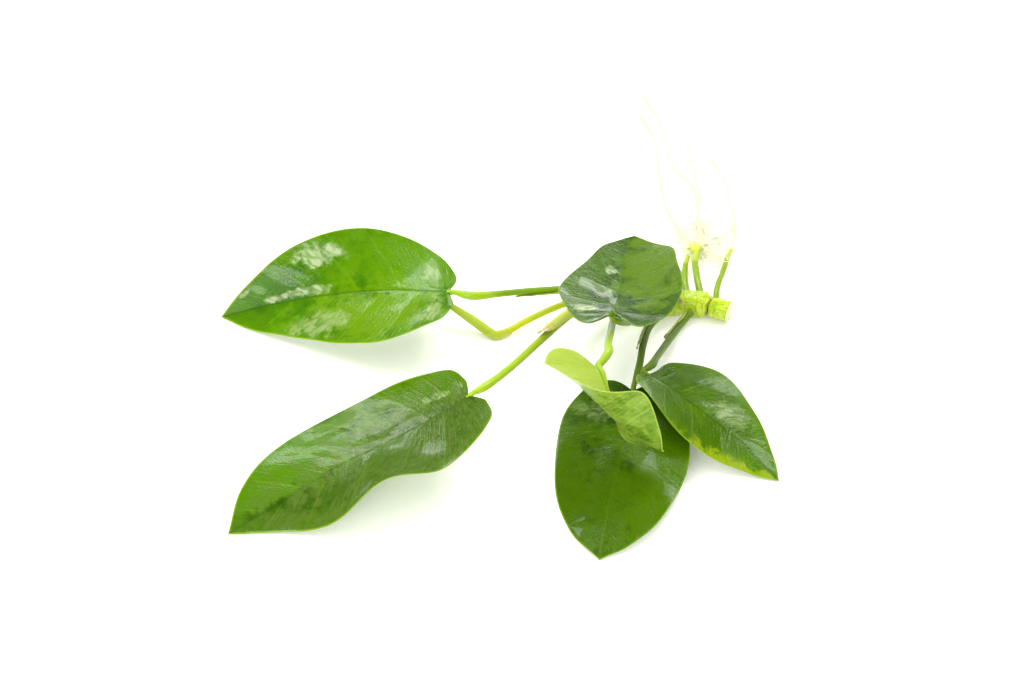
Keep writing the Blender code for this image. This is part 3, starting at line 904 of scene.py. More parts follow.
def stem_tree() -> bpy.types.NodeTree:
    """Build the tree that sweeps a ribbed round stem along each path by the path's own radius.

    Returns:
        The tree.
    """
    inputs = {"Sides": ("NodeSocketInt", 24), "Step": ("NodeSocketFloat", 0.0006),
              "Ribs": ("NodeSocketFloat", 9.0), "Rib Depth": ("NodeSocketFloat", 0.02),
              **BEND_INPUTS}
    g, given = growth_tree(Growth.STEM, inputs)
    path = g.node("GeometryNodeResampleCurve",
                  {"Curve": given["Geometry"], "Length": given["Step"]},
                  mode="LENGTH").outputs[0]
    spot = g.node("GeometryNodeSplineParameter")
    path = stored(g, path, "along", spot.outputs["Factor"])
    path = stored(g, path, "run", spot.outputs["Length"])
    path = wandered(g, path, given["Wander"], given["Wander Scale"], given["Bend Seed"])
    ring = g.node("GeometryNodeCurvePrimitiveCircle", {"Resolution": given["Sides"], "Radius": 1.0})
    here = g.node("GeometryNodeInputPosition").outputs[0]
    profile = stored(g, ring.outputs[0], "ring", here, "FLOAT_VECTOR")
    x, y, _ = g.split(here)
    turn = g.math("MULTIPLY", g.math("ARCTAN2", y, x), given["Ribs"])
    swell = g.math("MULTIPLY_ADD", g.math("COSINE", turn), given["Rib Depth"], 1.0)
    profile = g.node("GeometryNodeSetPosition", {"Geometry": profile,
                                                 "Position": g.scaled(here, swell)}).outputs[0]
    swept = g.node("GeometryNodeCurveToMesh", {"Curve": path, "Profile Curve": profile,
                                               "Fill Caps": True})
    g.feed(swept.inputs["Scale"], g.node("GeometryNodeInputRadius").outputs[0])
    return finish_growth(g, swept.outputs[0], given["Material"])


def hair_shape(g: Graph, bend: Feed, thickness: Feed) -> bpy.types.NodeSocket:
    """Make one tapering, bent hair of unit length that stands along Z.

    Args:
        g: The tree's graph.
        bend: How far its tip leans, as a share of its length.
        thickness: Radius at its foot, as a share of its length.

    Returns:
        The hair's mesh.
    """
    line = g.node("GeometryNodeCurvePrimitiveLine", {"End": (0.0, 0.0, 1.0)}).outputs[0]
    line = g.node("GeometryNodeResampleCurve", {"Curve": line, "Count": 5}).outputs[0]
    place = g.node("GeometryNodeSplineParameter").outputs["Factor"]
    lean = g.math("MULTIPLY", g.math("POWER", place, 1.7), bend)
    line = g.node("GeometryNodeSetPosition", {"Geometry": line,
                                              "Offset": g.joined(lean, 0.0, 0.0)}).outputs[0]
    ring = g.node("GeometryNodeCurvePrimitiveCircle", {"Resolution": 3, "Radius": 1.0}).outputs[0]
    swept = g.node("GeometryNodeCurveToMesh", {"Curve": line, "Profile Curve": ring,
                                               "Fill Caps": True})
    g.feed(swept.inputs["Scale"], g.math("MULTIPLY", g.rise(place, 1.3, 0.0), thickness))
    return swept.outputs[0]


def random_number(g: Graph, low: Feed, high: Feed, seed: Feed, offset: int) -> bpy.types.NodeSocket:
    """Draw one random number per point.

    Args:
        g: The tree's graph.
        low: Least value.
        high: Greatest value.
        seed: The tree's seed.
        offset: Keeps one draw apart from another.

    Returns:
        The number.
    """
    made = g.node("FunctionNodeRandomValue", data_type="FLOAT")
    g.feed(made.inputs[2], low)
    g.feed(made.inputs[3], high)
    g.feed(made.inputs["Seed"], g.math("ADD", seed, float(offset)))
    return made.outputs[1]


HAIR_INPUTS = {"Length": ("NodeSocketFloat", 0.002), "Bend": ("NodeSocketFloat", 0.4),
               "Thickness": ("NodeSocketFloat", 0.04), "Seed": ("NodeSocketInt", 1)}


def path_hairs_tree() -> bpy.types.NodeTree:
    """Build the tree that sets hairs all round each path.

    Returns:
        The tree.
    """
    inputs = {"Gap": ("NodeSocketFloat", 0.001), **BEND_INPUTS, **HAIR_INPUTS}
    g, given = growth_tree(Growth.PATH_HAIRS, inputs)
    path = g.node("GeometryNodeResampleCurve", {"Curve": given["Geometry"], "Length": given["Gap"]},
                  mode="LENGTH").outputs[0]
    path = wandered(g, path, given["Wander"], given["Wander Scale"], given["Bend Seed"])
    points = g.node("GeometryNodeCurveToPoints", {"Curve": path, "Length": given["Gap"]},
                    mode="LENGTH")
    angles = [random_number(g, 0.0, TURN, given["Seed"], step) for step in range(3)]
    turned = g.node("FunctionNodeEulerToRotation", {0: g.joined(*angles)}).outputs[0]
    size = g.math("MULTIPLY", random_number(g, 0.35, 1.0, given["Seed"], 3), given["Length"])
    feeds = {"Points": points.outputs[0], "Rotation": turned, "Scale": size,
             "Instance": hair_shape(g, given["Bend"], given["Thickness"])}
    spread = g.node("GeometryNodeInstanceOnPoints", feeds).outputs[0]
    return finish_growth(g, spread, given["Material"])


def skin_fibres_tree() -> bpy.types.NodeTree:
    """Build the tree that sets leaning fibres over a mesh.

    Returns:
        The tree.
    """
    inputs = {"Density": ("NodeSocketFloat", 1e6), "Lean": ("NodeSocketFloat", 0.9), **HAIR_INPUTS}
    g, given = growth_tree(Growth.SKIN_FIBRES, inputs)
    feeds = {"Mesh": given["Geometry"], "Density": given["Density"], "Seed": given["Seed"]}
    points = g.node("GeometryNodeDistributePointsOnFaces", feeds)
    tilt = random_number(g, 0.0, given["Lean"], given["Seed"], 1)
    spin = random_number(g, 0.0, TURN, given["Seed"], 2)
    lean = g.node("FunctionNodeEulerToRotation", {0: g.joined(tilt, 0.0, spin)}).outputs[0]
    feeds = {"Rotation": points.outputs["Rotation"], "Rotate By": lean}
    turned = g.node("FunctionNodeRotateRotation", feeds, rotation_space="LOCAL").outputs[0]
    size = g.math("MULTIPLY", random_number(g, 0.3, 1.0, given["Seed"], 3), given["Length"])
    feeds = {"Points": points.outputs[0], "Rotation": turned, "Scale": size,
             "Instance": hair_shape(g, given["Bend"], given["Thickness"])}
    spread = g.node("GeometryNodeInstanceOnPoints", feeds).outputs[0]
    return finish_growth(g, spread, given["Material"])


GROWTH_BUILDERS = {
    Growth.STEM: stem_tree,
    Growth.PATH_HAIRS: path_hairs_tree,
    Growth.SKIN_FIBRES: skin_fibres_tree,
}


def grow(name: str, host: bpy.types.Object, growth: Growth, settings: dict[str, object]
         ) -> bpy.types.Object:
    """Run a Geometry Nodes tree on a host and keep the result as a plain mesh.

    Args:
        name: Name of the new piece.
        host: The path or skin that the tree works on.
        growth: Which tree.
        settings: Values of its named inputs.

    Returns:
        The new piece.
    """
    tree = bpy.data.node_groups.get(growth.value) or GROWTH_BUILDERS[growth]()
    sockets = {item.name: item.identifier for item in tree.interface.items_tree
               if item.in_out == "INPUT"}
    modifier = host.modifiers.new(growth.value, "NODES")
    modifier.node_group = tree
    for label, value in settings.items():
        modifier[sockets[label]] = value
    graph = bpy.context.evaluated_depsgraph_get()
    mesh = bpy.data.meshes.new_from_object(host.evaluated_get(graph), preserve_all_data_layers=True,
                                           depsgraph=graph)
    host.modifiers.remove(modifier)
    mesh.name = name
    piece = bpy.data.objects.new(name, mesh)
    bpy.context.scene.collection.objects.link(piece)
    return piece


def drop(host: bpy.types.Object) -> None:
    """Remove a helper object."""
    bpy.data.objects.remove(host, do_unlink=True)


def path_object(name: str, routes: list[np.ndarray], radii: list[np.ndarray]) -> bpy.types.Object:
    """Make a curve object of open paths.

    Args:
        name: The helper's name.
        routes: Points of each path, in metres.
        radii: Radius at each point, in metres.

    Returns:
        The curve object.
    """
    curve = bpy.data.curves.new(name, "CURVE")
    curve.dimensions = "3D"
    for route, radius in zip(routes, radii):
        line = curve.splines.new("POLY")
        line.points.add(len(route) - 1)
        line.points.foreach_set("co", np.column_stack([route, np.ones(len(route))]).ravel())
        line.points.foreach_set("radius", np.asarray(radius, float))
    host = bpy.data.objects.new(name, curve)
    bpy.context.scene.collection.objects.link(host)
    return host


def mesh_piece(name: str, points: np.ndarray, faces: list, material: bpy.types.Material
               ) -> bpy.types.Object:
    """Make a smooth-shaded mesh object.

    Args:
        name: The piece's name.
        points: Vertices in metres.
        faces: Vertex numbers of each face.
        material: Its material.

    Returns:
        The piece.
    """
    mesh = bpy.data.meshes.new(name)
    mesh.from_pydata(np.asarray(points).tolist(), [], faces)
    mesh.shade_smooth()
    mesh.materials.append(material)
    piece = bpy.data.objects.new(name, mesh)
    bpy.context.scene.collection.objects.link(piece)
    return piece


def walled_sheet(name: str, outer: np.ndarray, inner: np.ndarray, places: np.ndarray,
                 material: bpy.types.Material) -> bpy.types.Object:
    """Close two rows-by-columns walls of a thin sheet into one piece.

    Args:
        name: The piece's name.
        outer: Points of the outer wall, in millimetres.
        inner: Points of the inner wall, in the same order.
        places: The finish's map, one place to a point.
        material: Its material.

    Returns:
        The piece.
    """
    rows, columns = outer.shape[:2]
    numbers = np.arange(rows * columns).reshape(rows, columns)
    behind = rows * columns
    quads = np.stack([numbers[:-1, :-1], numbers[1:, :-1], numbers[1:, 1:], numbers[:-1, 1:]], -1)
    faces = []
    for quad in quads.reshape(-1, 4).tolist():
        faces.append(tuple(quad))
        faces.append(tuple(behind + number for number in reversed(quad)))
    loop = np.concatenate([numbers[:, 0], numbers[-1, 1:], numbers[-2::-1, -1],
                           numbers[0, -2:0:-1]]).tolist()
    for first, second in zip(loop, loop[1:] + loop[:1]):
        faces.append((second, first, behind + first, behind + second))
    points = placed(np.concatenate([outer.reshape(-1, 3), inner.reshape(-1, 3)]))
    points[:, 2] = np.maximum(points[:, 2], LIFT)
    piece = mesh_piece(name, points, faces, material)
    flat = places.reshape(-1, 2)
    give_map(piece, "sheath", np.vstack([flat, flat]))
    return piece


def give_values(piece: bpy.types.Object, name: str, values: np.ndarray) -> None:
    """Give a piece an attribute with one number or vector per vertex."""
    kind, slot = ("FLOAT", "value") if values.ndim == 1 else ("FLOAT_VECTOR", "vector")
    layer = piece.data.attributes.new(name, kind, "POINT")
    layer.data.foreach_set(slot, np.ascontiguousarray(values, np.float32).ravel())


def give_map(piece: bpy.types.Object, name: str, places: np.ndarray) -> None:
    """Give a piece a UV map from one place per vertex."""
    corners = np.empty(len(piece.data.loops), np.int32)
    piece.data.loops.foreach_get("vertex_index", corners)
    layer = piece.data.uv_layers.new(name=name)
    layer.uv.foreach_set("vector", places[corners].astype(np.float32).ravel())


def settle(piece: bpy.types.Object, slot: str, *nodes: str) -> None:
    """Rest a piece on the surface, ride it on the body and let it stand for its CAD nodes."""
    points = np.empty(3 * len(piece.data.vertices), np.float32)
    piece.data.vertices.foreach_get("co", points)
    points[2::3] = np.maximum(points[2::3], 0.0)
    piece.data.vertices.foreach_set("co", points)
    piece.data.update()
    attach(piece, BODY)
    if nodes:
        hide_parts(*nodes)
    LOG.info("%s: %d faces", piece.name, len(piece.data.polygons))


# ---------------------------------------------------------------------------
# Blades
# ---------------------------------------------------------------------------


@dataclass(frozen=True)
class Half:
    """One half of a blade, seen from the rib outwards.

    fold is its slope where it leaves the rib and curl how much further it turns by its margin, in
    degrees from base to tip. lobe is how far the base runs back and widest where the half is
    widest, as shares of the length; full and point are shares of the width further on, and
    shoulder moves the outer side of the lobe along.
    """

    width: float
    fold: tuple[float, ...]
    curl: tuple[float, ...]
    lobe: float
    widest: float
    full: float
    point: float
    shoulder: float = 0.05

    def margin(self) -> np.ndarray:
        """Give control points of the margin as (place on the rib, along, out)."""
        return np.array((
            (0.0, 0.0, 0.0),
            (0.012, -0.75 * self.lobe, 0.35),
            (0.04, self.shoulder - 0.6 * self.lobe, 0.74),
            (0.2, self.widest, 1.0),
            (0.48, 0.62, self.full),
            (0.76, 0.86, self.point),
            (1.0, 1.0, 0.0),
        ))


@dataclass
class LeafBlade:
    """One leaf blade: a thin sheet about its rib, with sunken side veins and a rounded margin."""

    name: str
    base: tuple[float, float, float]
    length: float
    heading: tuple[float, ...]
    pitch: tuple[float, ...]
    roll: tuple[float, ...]
    left: Half
    right: Half
    finish: LeafFinish
    pairs: float = 9.0
    quilt: float = 0.24
    vein_depth: float = 0.09
    ripple: float = 0.30
    buckle: float = 0.22
    skin: float = 0.15
    rib_height: float = 0.85
    rib_width: float = 0.75
    groove: float = 0.07
    seed: int = 1
    stations: int = 150
    steps: int = 46
    sections: int = 8
    rib_samples: int = 400
    vein_bow: float = 0.03
    crowding: float = 0.13
    rim_bulge: float = 0.07

    def directions(self, place: np.ndarray) -> tuple[np.ndarray, np.ndarray, np.ndarray]:
        """Find which ways the blade faces along its rib.

        Args:
            place: Places along the rib, 0 to 1.

        Returns:
            Unit vectors along the rib, to its left and up from its upper face.
        """
        heading = np.radians(spline(self.heading, place))
        pitch = np.radians(spline(self.pitch, place))
        roll = np.radians(spline(self.roll, place))[..., None]
        along = np.stack([np.cos(pitch) * np.cos(heading), np.cos(pitch) * np.sin(heading),
                          np.sin(pitch)], -1)
        level = np.stack([-np.sin(heading), np.cos(heading), np.zeros_like(heading)], -1)
        left = level * np.cos(roll) + np.cross(along, level) * np.sin(roll)
        return along, left, np.cross(along, left)

    def rib_point(self, distance: np.ndarray) -> np.ndarray:
        """Find points on the rib line, run straight on past its ends.

        Args:
            distance: Distances from the base, in millimetres.

        Returns:
            The points, in millimetres.
        """
        count = self.rib_samples
        middles = (np.arange(count) + 0.5) / count
        steps = self.directions(middles)[0] * self.length / count
        line = np.vstack([np.zeros(3), np.cumsum(steps, 0)]) + np.array(self.base)
        inside = np.clip(distance, 0.0, self.length)
        marks = np.linspace(0.0, self.length, count + 1)
        point = np.stack([np.interp(inside, marks, line[:, axis]) for axis in range(3)], -1)
        ahead = self.directions(np.asarray(distance) / self.length)[0]
        return point + ahead * (distance - inside)[..., None]

    def half_sheet(self, half: Half, side: float, station: np.ndarray, out: np.ndarray
                   ) -> tuple[np.ndarray, np.ndarray, np.ndarray]:
        """Lay out the middle of one half.

        Args:
            half: The half.
            side: 1 on the left and -1 on the right.
            station: Side vein stations, 0 at the base to 1 at the tip.
            out: Shares out along each side vein.

        Returns:
            Points, distances from the rib and distances from the margin, in millimetres.
        """
        foot, along, across = np.moveaxis(spline(half.margin(), station), -1, 0)
        reach = np.abs(across) * half.width
        breadth = out * reach
        distance = (foot + out * (along - foot)) * self.length
        place = distance / self.length
        fold = np.radians(spline(half.fold, place))
        curl = np.radians(spline(half.curl, place)) * breadth / half.width
        middles = (np.arange(self.sections) + 0.5) / self.sections
        angle = fold[..., None] + curl[..., None] * middles
        flat = np.cos(angle).mean(-1) * breadth
        raised = np.sin(angle).mean(-1) * breadth
        _, left, up = self.directions(place)
        point = self.rib_point(distance) + left * (side * flat)[..., None] + up * raised[..., None]
        return point, breadth, reach - breadth

    def sheet(self) -> tuple[np.ndarray, dict[str, np.ndarray]]:
        """Lay out the whole middle sheet, one row to a station and left margin to right margin.

        Returns:
            Points in millimetres and named measures at each of them.
        """
        even = np.linspace(0.0, 1.0, self.steps + 1)
        out = even - self.crowding * np.sin(TURN * even)
        station, share = grid(np.linspace(0.0, 1.0, self.stations + 1), out)
        parts = []
        for half, side in ((self.left, 1.0), (self.right, -1.0)):
            point, breadth, edge = self.half_sheet(half, side, station, share)
            along = station - self.vein_bow * share**1.6
            number = along * self.pairs + (0.5 if side < 0 else 0.0)
            values = {"station": station, "out": share * side, "breadth": breadth * side,
                      "edge": edge, "number": number}
            parts.append((point, values))
        turned = slice(None, None, -1)
        points = np.concatenate([parts[0][0][:, turned], parts[1][0][:, 1:]], 1)
        measures = {key: np.concatenate([parts[0][1][key][:, turned], parts[1][1][key][:, 1:]], 1)
                    for key in parts[0][1]}
        middle = self.steps
        smoothed = 0.5 * (measures["number"][:, middle - 1] + measures["number"][:, middle + 1])
        measures["number"][:, middle] = smoothed
        return points, measures

    def normals(self, points: np.ndarray) -> np.ndarray:
        """Average the normals of a sheet's faces at its points.

        Args:
            points: Rows of points.

        Returns:
            Unit normals on the upper side.
        """
        first = points[:-1, 1:] - points[1:, :-1]
        second = points[1:, 1:] - points[:-1, :-1]
        faces = np.cross(first, second)
        total = np.zeros_like(points)
        for rows in (slice(None, -1), slice(1, None)):
            for columns in (slice(None, -1), slice(1, None)):
                total[rows, columns] += faces
        total[0] = total[0].sum(0) + total[1].sum(0) * 0.02
        total[-1] = total[-1].sum(0)
        return unit(total)

    def relief(self, measures: dict[str, np.ndarray]) -> tuple[np.ndarray, np.ndarray, np.ndarray]:
        """Shape the two faces about the middle sheet.

        Args:
            measures: The sheet's named measures.

        Returns:
            How far the whole sheet is pushed up, and how far its upper and lower faces stand off
            it, in millimetres.
        """
        station = measures["station"]
        breadth = np.abs(measures["breadth"])
        edge = measures["edge"]
        out = np.abs(measures["out"])
        inner = eased(station, 0.02, 0.12) * eased(1.0 - station, 0.02, 0.15)
        flat = np.stack([measures["breadth"], station * self.length], -1)
        buckle = self.buckle * waves(flat, self.seed, 6, 34.0, 9.0) * eased(breadth, 0.5, 6.0)
        ripple = self.ripple * waves(flat, self.seed + 40, 4, 21.0, 10.0) * out**4 * inner
        gap = np.abs(measures["number"] - np.round(measures["number"]))
        panels = np.sqrt(np.clip(np.sin(np.pi * gap), 0.0, 1.0))
        between = eased(breadth, 0.6, 3.2) * eased(edge, 0.5, 4.5) * inner
        quilt = self.quilt * (panels - 0.6) * between
        vein = np.exp(-(gap / 0.035) ** 2) * between * (1.0 - 0.6 * out)
        fine = 0.004 * np.cos(TURN * 7.0 * measures["number"]) * between
        taper = 1.0 - station
        height = self.rib_height * taper**0.8 + 0.10
        width = self.rib_width * taper**0.6 + 0.22
        rib = height * np.exp(-(breadth / width) ** 2)
        groove = self.groove * (0.35 + 0.65 * taper) * np.exp(-(breadth / 0.42) ** 2)
        shoulder = 0.15 * groove.max() * np.exp(-((breadth - 1.25) / 0.7) ** 2) * taper
        rounding = np.sqrt(np.clip(1.0 - (1.0 - np.clip(edge / 0.45, 0.0, 1.0)) ** 2, 0.0, 1.0))
        skin = self.skin * (0.18 + 0.82 * rounding) * (1.0 + 0.5 * np.exp(-breadth / 6.0))
        upper = skin - groove + shoulder + fine - 0.25 * self.vein_depth * vein
        lower = skin + rib + self.vein_depth * vein
        return buckle + ripple + quilt, upper, lower

    def build(self) -> bpy.types.Object:
        """Build the blade.

        Returns:
            The finished piece.
        """
        sheet, measures = self.sheet()
        push, upper, lower = self.relief(measures)
        normals = self.normals(sheet)
        middle = sheet + normals * push[..., None]
        middle[..., 2] = np.maximum(middle[..., 2], lower + 0.03)
        normals = self.normals(middle)
        rows, columns = upper.shape
        above = middle + normals * upper[..., None]
        below = middle - normals * lower[..., None]
        rim, inside = self.rim_loop(rows, columns)
        flat_middle = middle.reshape(-1, 3)
        outwards = unit(flat_middle[rim] - flat_middle[inside])
        edge_line = flat_middle[rim] + outwards * self.rim_bulge
        kept = self.kept_points(rows, columns)
        numbers = np.full(rows * columns, -1)
        numbers[kept] = np.arange(len(kept))
        self.share_poles(numbers, columns)
        top, rim_start = len(kept), 2 * len(kept)
        faces = self.face_list(numbers.reshape(rows, columns), top)
        loop = numbers[rim]
        for index, number in enumerate(loop):
            after = (index + 1) % len(loop)
            a, b = rim_start + index, rim_start + after
            faces.append((number, loop[after], b, a))
            faces.append((a, b, top + loop[after], top + number))
        points = np.vstack([above.reshape(-1, 3)[kept], below.reshape(-1, 3)[kept], edge_line])
        piece = mesh_piece(f"{self.name}_leaf", placed(points), faces, self.finish.material())
        self.give_places(piece, measures, kept, rim)
        return piece

    def kept_points(self, rows: int, columns: int) -> np.ndarray:
        """List the sheet's points with each pole once."""
        inner = np.arange(columns, (rows - 1) * columns)
        return np.concatenate([[0], inner, [(rows - 1) * columns]])

    def share_poles(self, numbers: np.ndarray, columns: int) -> None:
        """Point every corner of the first and last rows at its pole."""
        numbers[:columns] = numbers[0]
        numbers[-columns:] = numbers[-columns]

    def rim_loop(self, rows: int, columns: int) -> tuple[np.ndarray, np.ndarray]:
        """Walk the margin once round.

        Args:
            rows: Rows of the sheet.
            columns: Columns of the sheet.

        Returns:
            The margin's points and the points just inside them.
        """
        down = np.arange(rows) * columns
        left = down[1:-1]
        right = left[::-1] + columns - 1
        middle = self.steps
        loop = np.concatenate([[0], left, [down[-1]], right])
        inside = np.concatenate([[columns + middle], left + 1, [down[-2] + middle], right - 1])
        return loop, inside

    def face_list(self, numbers: np.ndarray, top: int) -> list[tuple[int, ...]]:
        """List the faces of both sides.

        Args:
            numbers: Vertex number of each sheet point.
            top: Number of the first vertex of the lower side.

        Returns:
            Faces that point up on the upper side and down on the lower one.
        """
        corners = np.stack([numbers[:-1, :-1], numbers[:-1, 1:], numbers[1:, 1:],
                            numbers[1:, :-1]], -1)
        faces = []
        for corner in corners.reshape(-1, 4).tolist():
            ring = tuple(dict.fromkeys(corner))
            if len(ring) > 2:
                faces.append(ring)
                faces.append(tuple(top + number for number in reversed(ring)))
        return faces

    def give_places(self, piece: bpy.types.Object, measures: dict[str, np.ndarray],
                    kept: np.ndarray, rim: np.ndarray) -> None:
        """Tell the finish where each vertex lies on the blade.

        Args:
            piece: The blade.
            measures: The sheet's named measures.
            kept: Sheet points of each side's vertices.
            rim: Sheet points of the rim's vertices.
        """
        order = np.concatenate([kept, kept, rim])
        place = np.stack([measures[key].ravel()[order] for key in ("breadth", "number", "edge")],
                         -1)
        give_values(piece, "leaf_place", place)
        face = np.concatenate([np.ones(len(kept)), np.zeros(len(kept)), np.full(len(rim), 0.5)])
        give_values(piece, "leaf_face", face)
        across = 0.5 + 0.5 * measures["out"].ravel()[order]
        give_map(piece, "leaf", np.stack([across, measures["station"].ravel()[order]], -1))


# ---------------------------------------------------------------------------
# Stalks, sheaths and roots
# ---------------------------------------------------------------------------


@dataclass
class LeafStalk:
    """A leaf stalk that rises from the rhizome and runs on under the rib of its blade."""

    name: str
    route: tuple[tuple[float, float, float], ...]
    shares: tuple[float, ...]
    finish: StemFinish
    blade: LeafBlade | None = None
    meets: tuple[float, float] = (1.4, 0.0)
    radius: float = 0.95
    buried: float = 1.6
    samples: int = 110
    given_way: int = 6
    tail_samples: int = 36

    def full_route(self) -> np.ndarray:
        """List the route's points with the one where it meets its blade."""
        route = [np.array(point, float) for point in self.route]
        if self.blade:
            start, _, up = (item[0] for item in self.blade.directions(np.zeros(1)))
            back, below = self.meets
            route.append(np.array(self.blade.base) - start * back - up * below)
        return np.array(route)

    def path(self) -> tuple[np.ndarray, np.ndarray]:
        """Lay out the stalk's path and radius.

        Returns:
            Points and radii, in millimetres.
        """
        place = np.linspace(0.0, 1.0, self.samples)
        points = spline(self.full_route(), place)
        radii = spline(self.shares, place) * self.radius
        first = unit(points[0] - points[1])
        foot = points[0] + first * np.linspace(self.buried, 0.25, 4)[:, None]
        points = np.vstack([foot, points])
        radii = np.concatenate([np.full(4, radii[0] * 1.12), radii])
        if self.blade:
            points, radii = self.under_rib(points, radii)
        return points, radii

    def under_rib(self, points: np.ndarray, radii: np.ndarray) -> tuple[np.ndarray, np.ndarray]:
        """Run the stalk on below the rib, thinner and thinner, until the rib takes over.

        Args:
            points: The stalk's path.
            radii: Its radii.

        Returns:
            The longer path and its radii.
        """
        reach = np.array((0.8, 2.2, 4.0, 6.5, 9.0))
        rib = self.blade.rib_point(reach)
        _, _, up = self.blade.directions(reach / self.blade.length)
        drop_below = np.array((0.62, 0.66, 0.58, 0.44, 0.28))
        thin = np.array((0.80, 0.72, 0.60, 0.45, 0.25)) * self.radius
        place = np.linspace(0.0, 1.0, self.tail_samples)[1:]
        kept = len(points) - self.given_way
        knots = np.vstack([points[[kept - 1, -1]], rib - up * drop_below[:, None]])
        more = spline(knots, place)
        sizes = spline(np.concatenate([[radii[kept - 1], radii[-1] * 1.05], thin]), place)
        return np.vstack([points[:kept], more]), np.concatenate([radii[:kept], sizes])

    def build(self) -> bpy.types.Object:
        """Build the stalk.

        Returns:
            The finished piece.
        """
        points, radii = self.path()
        host = path_object(self.name, [placed(points)], [radii * MM])
        piece = grow(f"{self.name}_skin", host, Growth.STEM, {
            "Sides": 28, "Step": 0.00045, "Ribs": 9.0, "Rib Depth": 0.022,
            "Material": self.finish.material()})
        drop(host)
        return piece


@dataclass
class StalkSheath:
    """A split sheath round one side of a stalk, with a wavy free edge and a rounded tip."""

    name: str
    stalk: LeafStalk
    start: float
    end: float
    side: float
    turn: float
    flare: float
    finish: SheathFinish
    wall: float = 0.16
    clearance: float = 0.36
    rows: int = 70
    columns: int = 34
    seed: int = 3

    def build(self) -> bpy.types.Object:
        """Build the sheath.

        Returns:
            The finished piece.
        """
        route = self.stalk.full_route()
        row, column = grid(np.linspace(0.0, 1.0, self.rows), np.linspace(-1.0, 1.0, self.columns))
        place = self.start + (self.end - self.start) * row
        centre, level, raised = around_route(route, place)
        narrowing = np.sqrt(np.clip(1.0 - row**4, 0.0, 1.0)) * (1.0 - 0.10 * np.cos(9.0 * row))
        half_turn = math.radians(self.turn / 2.0) * np.maximum(narrowing, 0.02)
        angle = math.radians(self.side) + half_turn * column
        frill = 0.14 * waves(np.stack([row * 20.0, column * 3.0], -1), self.seed, 4, 8.0, 2.5)
        free = np.abs(column) ** 2 * row
        stalk_radius = self.stalk.radius * spline(self.stalk.shares, place)
        reach = stalk_radius + self.clearance + self.flare * row**2 + frill * (0.25 + free)
        across = outwards_at(level, raised, angle)
        lines = 0.018 * np.cos(TURN * 6.5 * column)
        walls = [centre + across * (reach + offset)[..., None]
                 for offset in (self.wall / 2 + lines, -self.wall / 2 + lines)]
        places = np.stack([column * 0.5 + 0.5, row], -1)
        return walled_sheet(f"{self.name}_skin", *walls, places, self.finish.material())


@dataclass
class RootStrand:
    """A washed root with fine hairs along it."""

    name: str
    route: tuple[tuple[float, float, float], ...]
    radii: tuple[float, ...]
    finish: StemFinish
    slot: str
    hair_gap: float = 0.0011
    hair_length: float = 0.0022
    wander: float = 0.0012
    lead: float = 0.0
    seed: int = 5

    def path(self) -> tuple[np.ndarray, np.ndarray]:
        """Lay out the root's path and radius, in millimetres."""
        place = np.linspace(0.0, 1.0, 90)
        points = spline(np.array(self.route, float), place)
        radii = spline(self.radii, place)
        if self.lead:
            first = unit(points[0] - points[1])
            points = np.vstack([points[0] + first * self.lead, points])
            radii = np.concatenate([[radii[0]], radii])
        return points, radii

    def build(self, hair: bpy.types.Material) -> list[bpy.types.Object]:
        """Build the root and its hairs.

        Args:
            hair: Material of the hairs.

        Returns:
            The two finished pieces.
        """
        points, radii = self.path()
        host = path_object(self.name, [placed(points)], [radii * MM])
        bends = {"Wander": self.wander, "Wander Scale": 150.0, "Bend Seed": float(self.seed)}
        root = grow(f"{self.name}_skin", host, Growth.STEM, {
            "Sides": 16, "Step": 0.0005, "Ribs": 5.0, "Rib Depth": 0.03, **bends,
            "Material": self.finish.material()})
        hairs = grow(f"{self.name}_hairs", host, Growth.PATH_HAIRS, {
            "Gap": self.hair_gap, "Length": self.hair_length, "Bend": 0.6, "Thickness": 0.035,
            "Seed": self.seed, **bends, "Material": hair})
        drop(host)
        return [root, hairs]


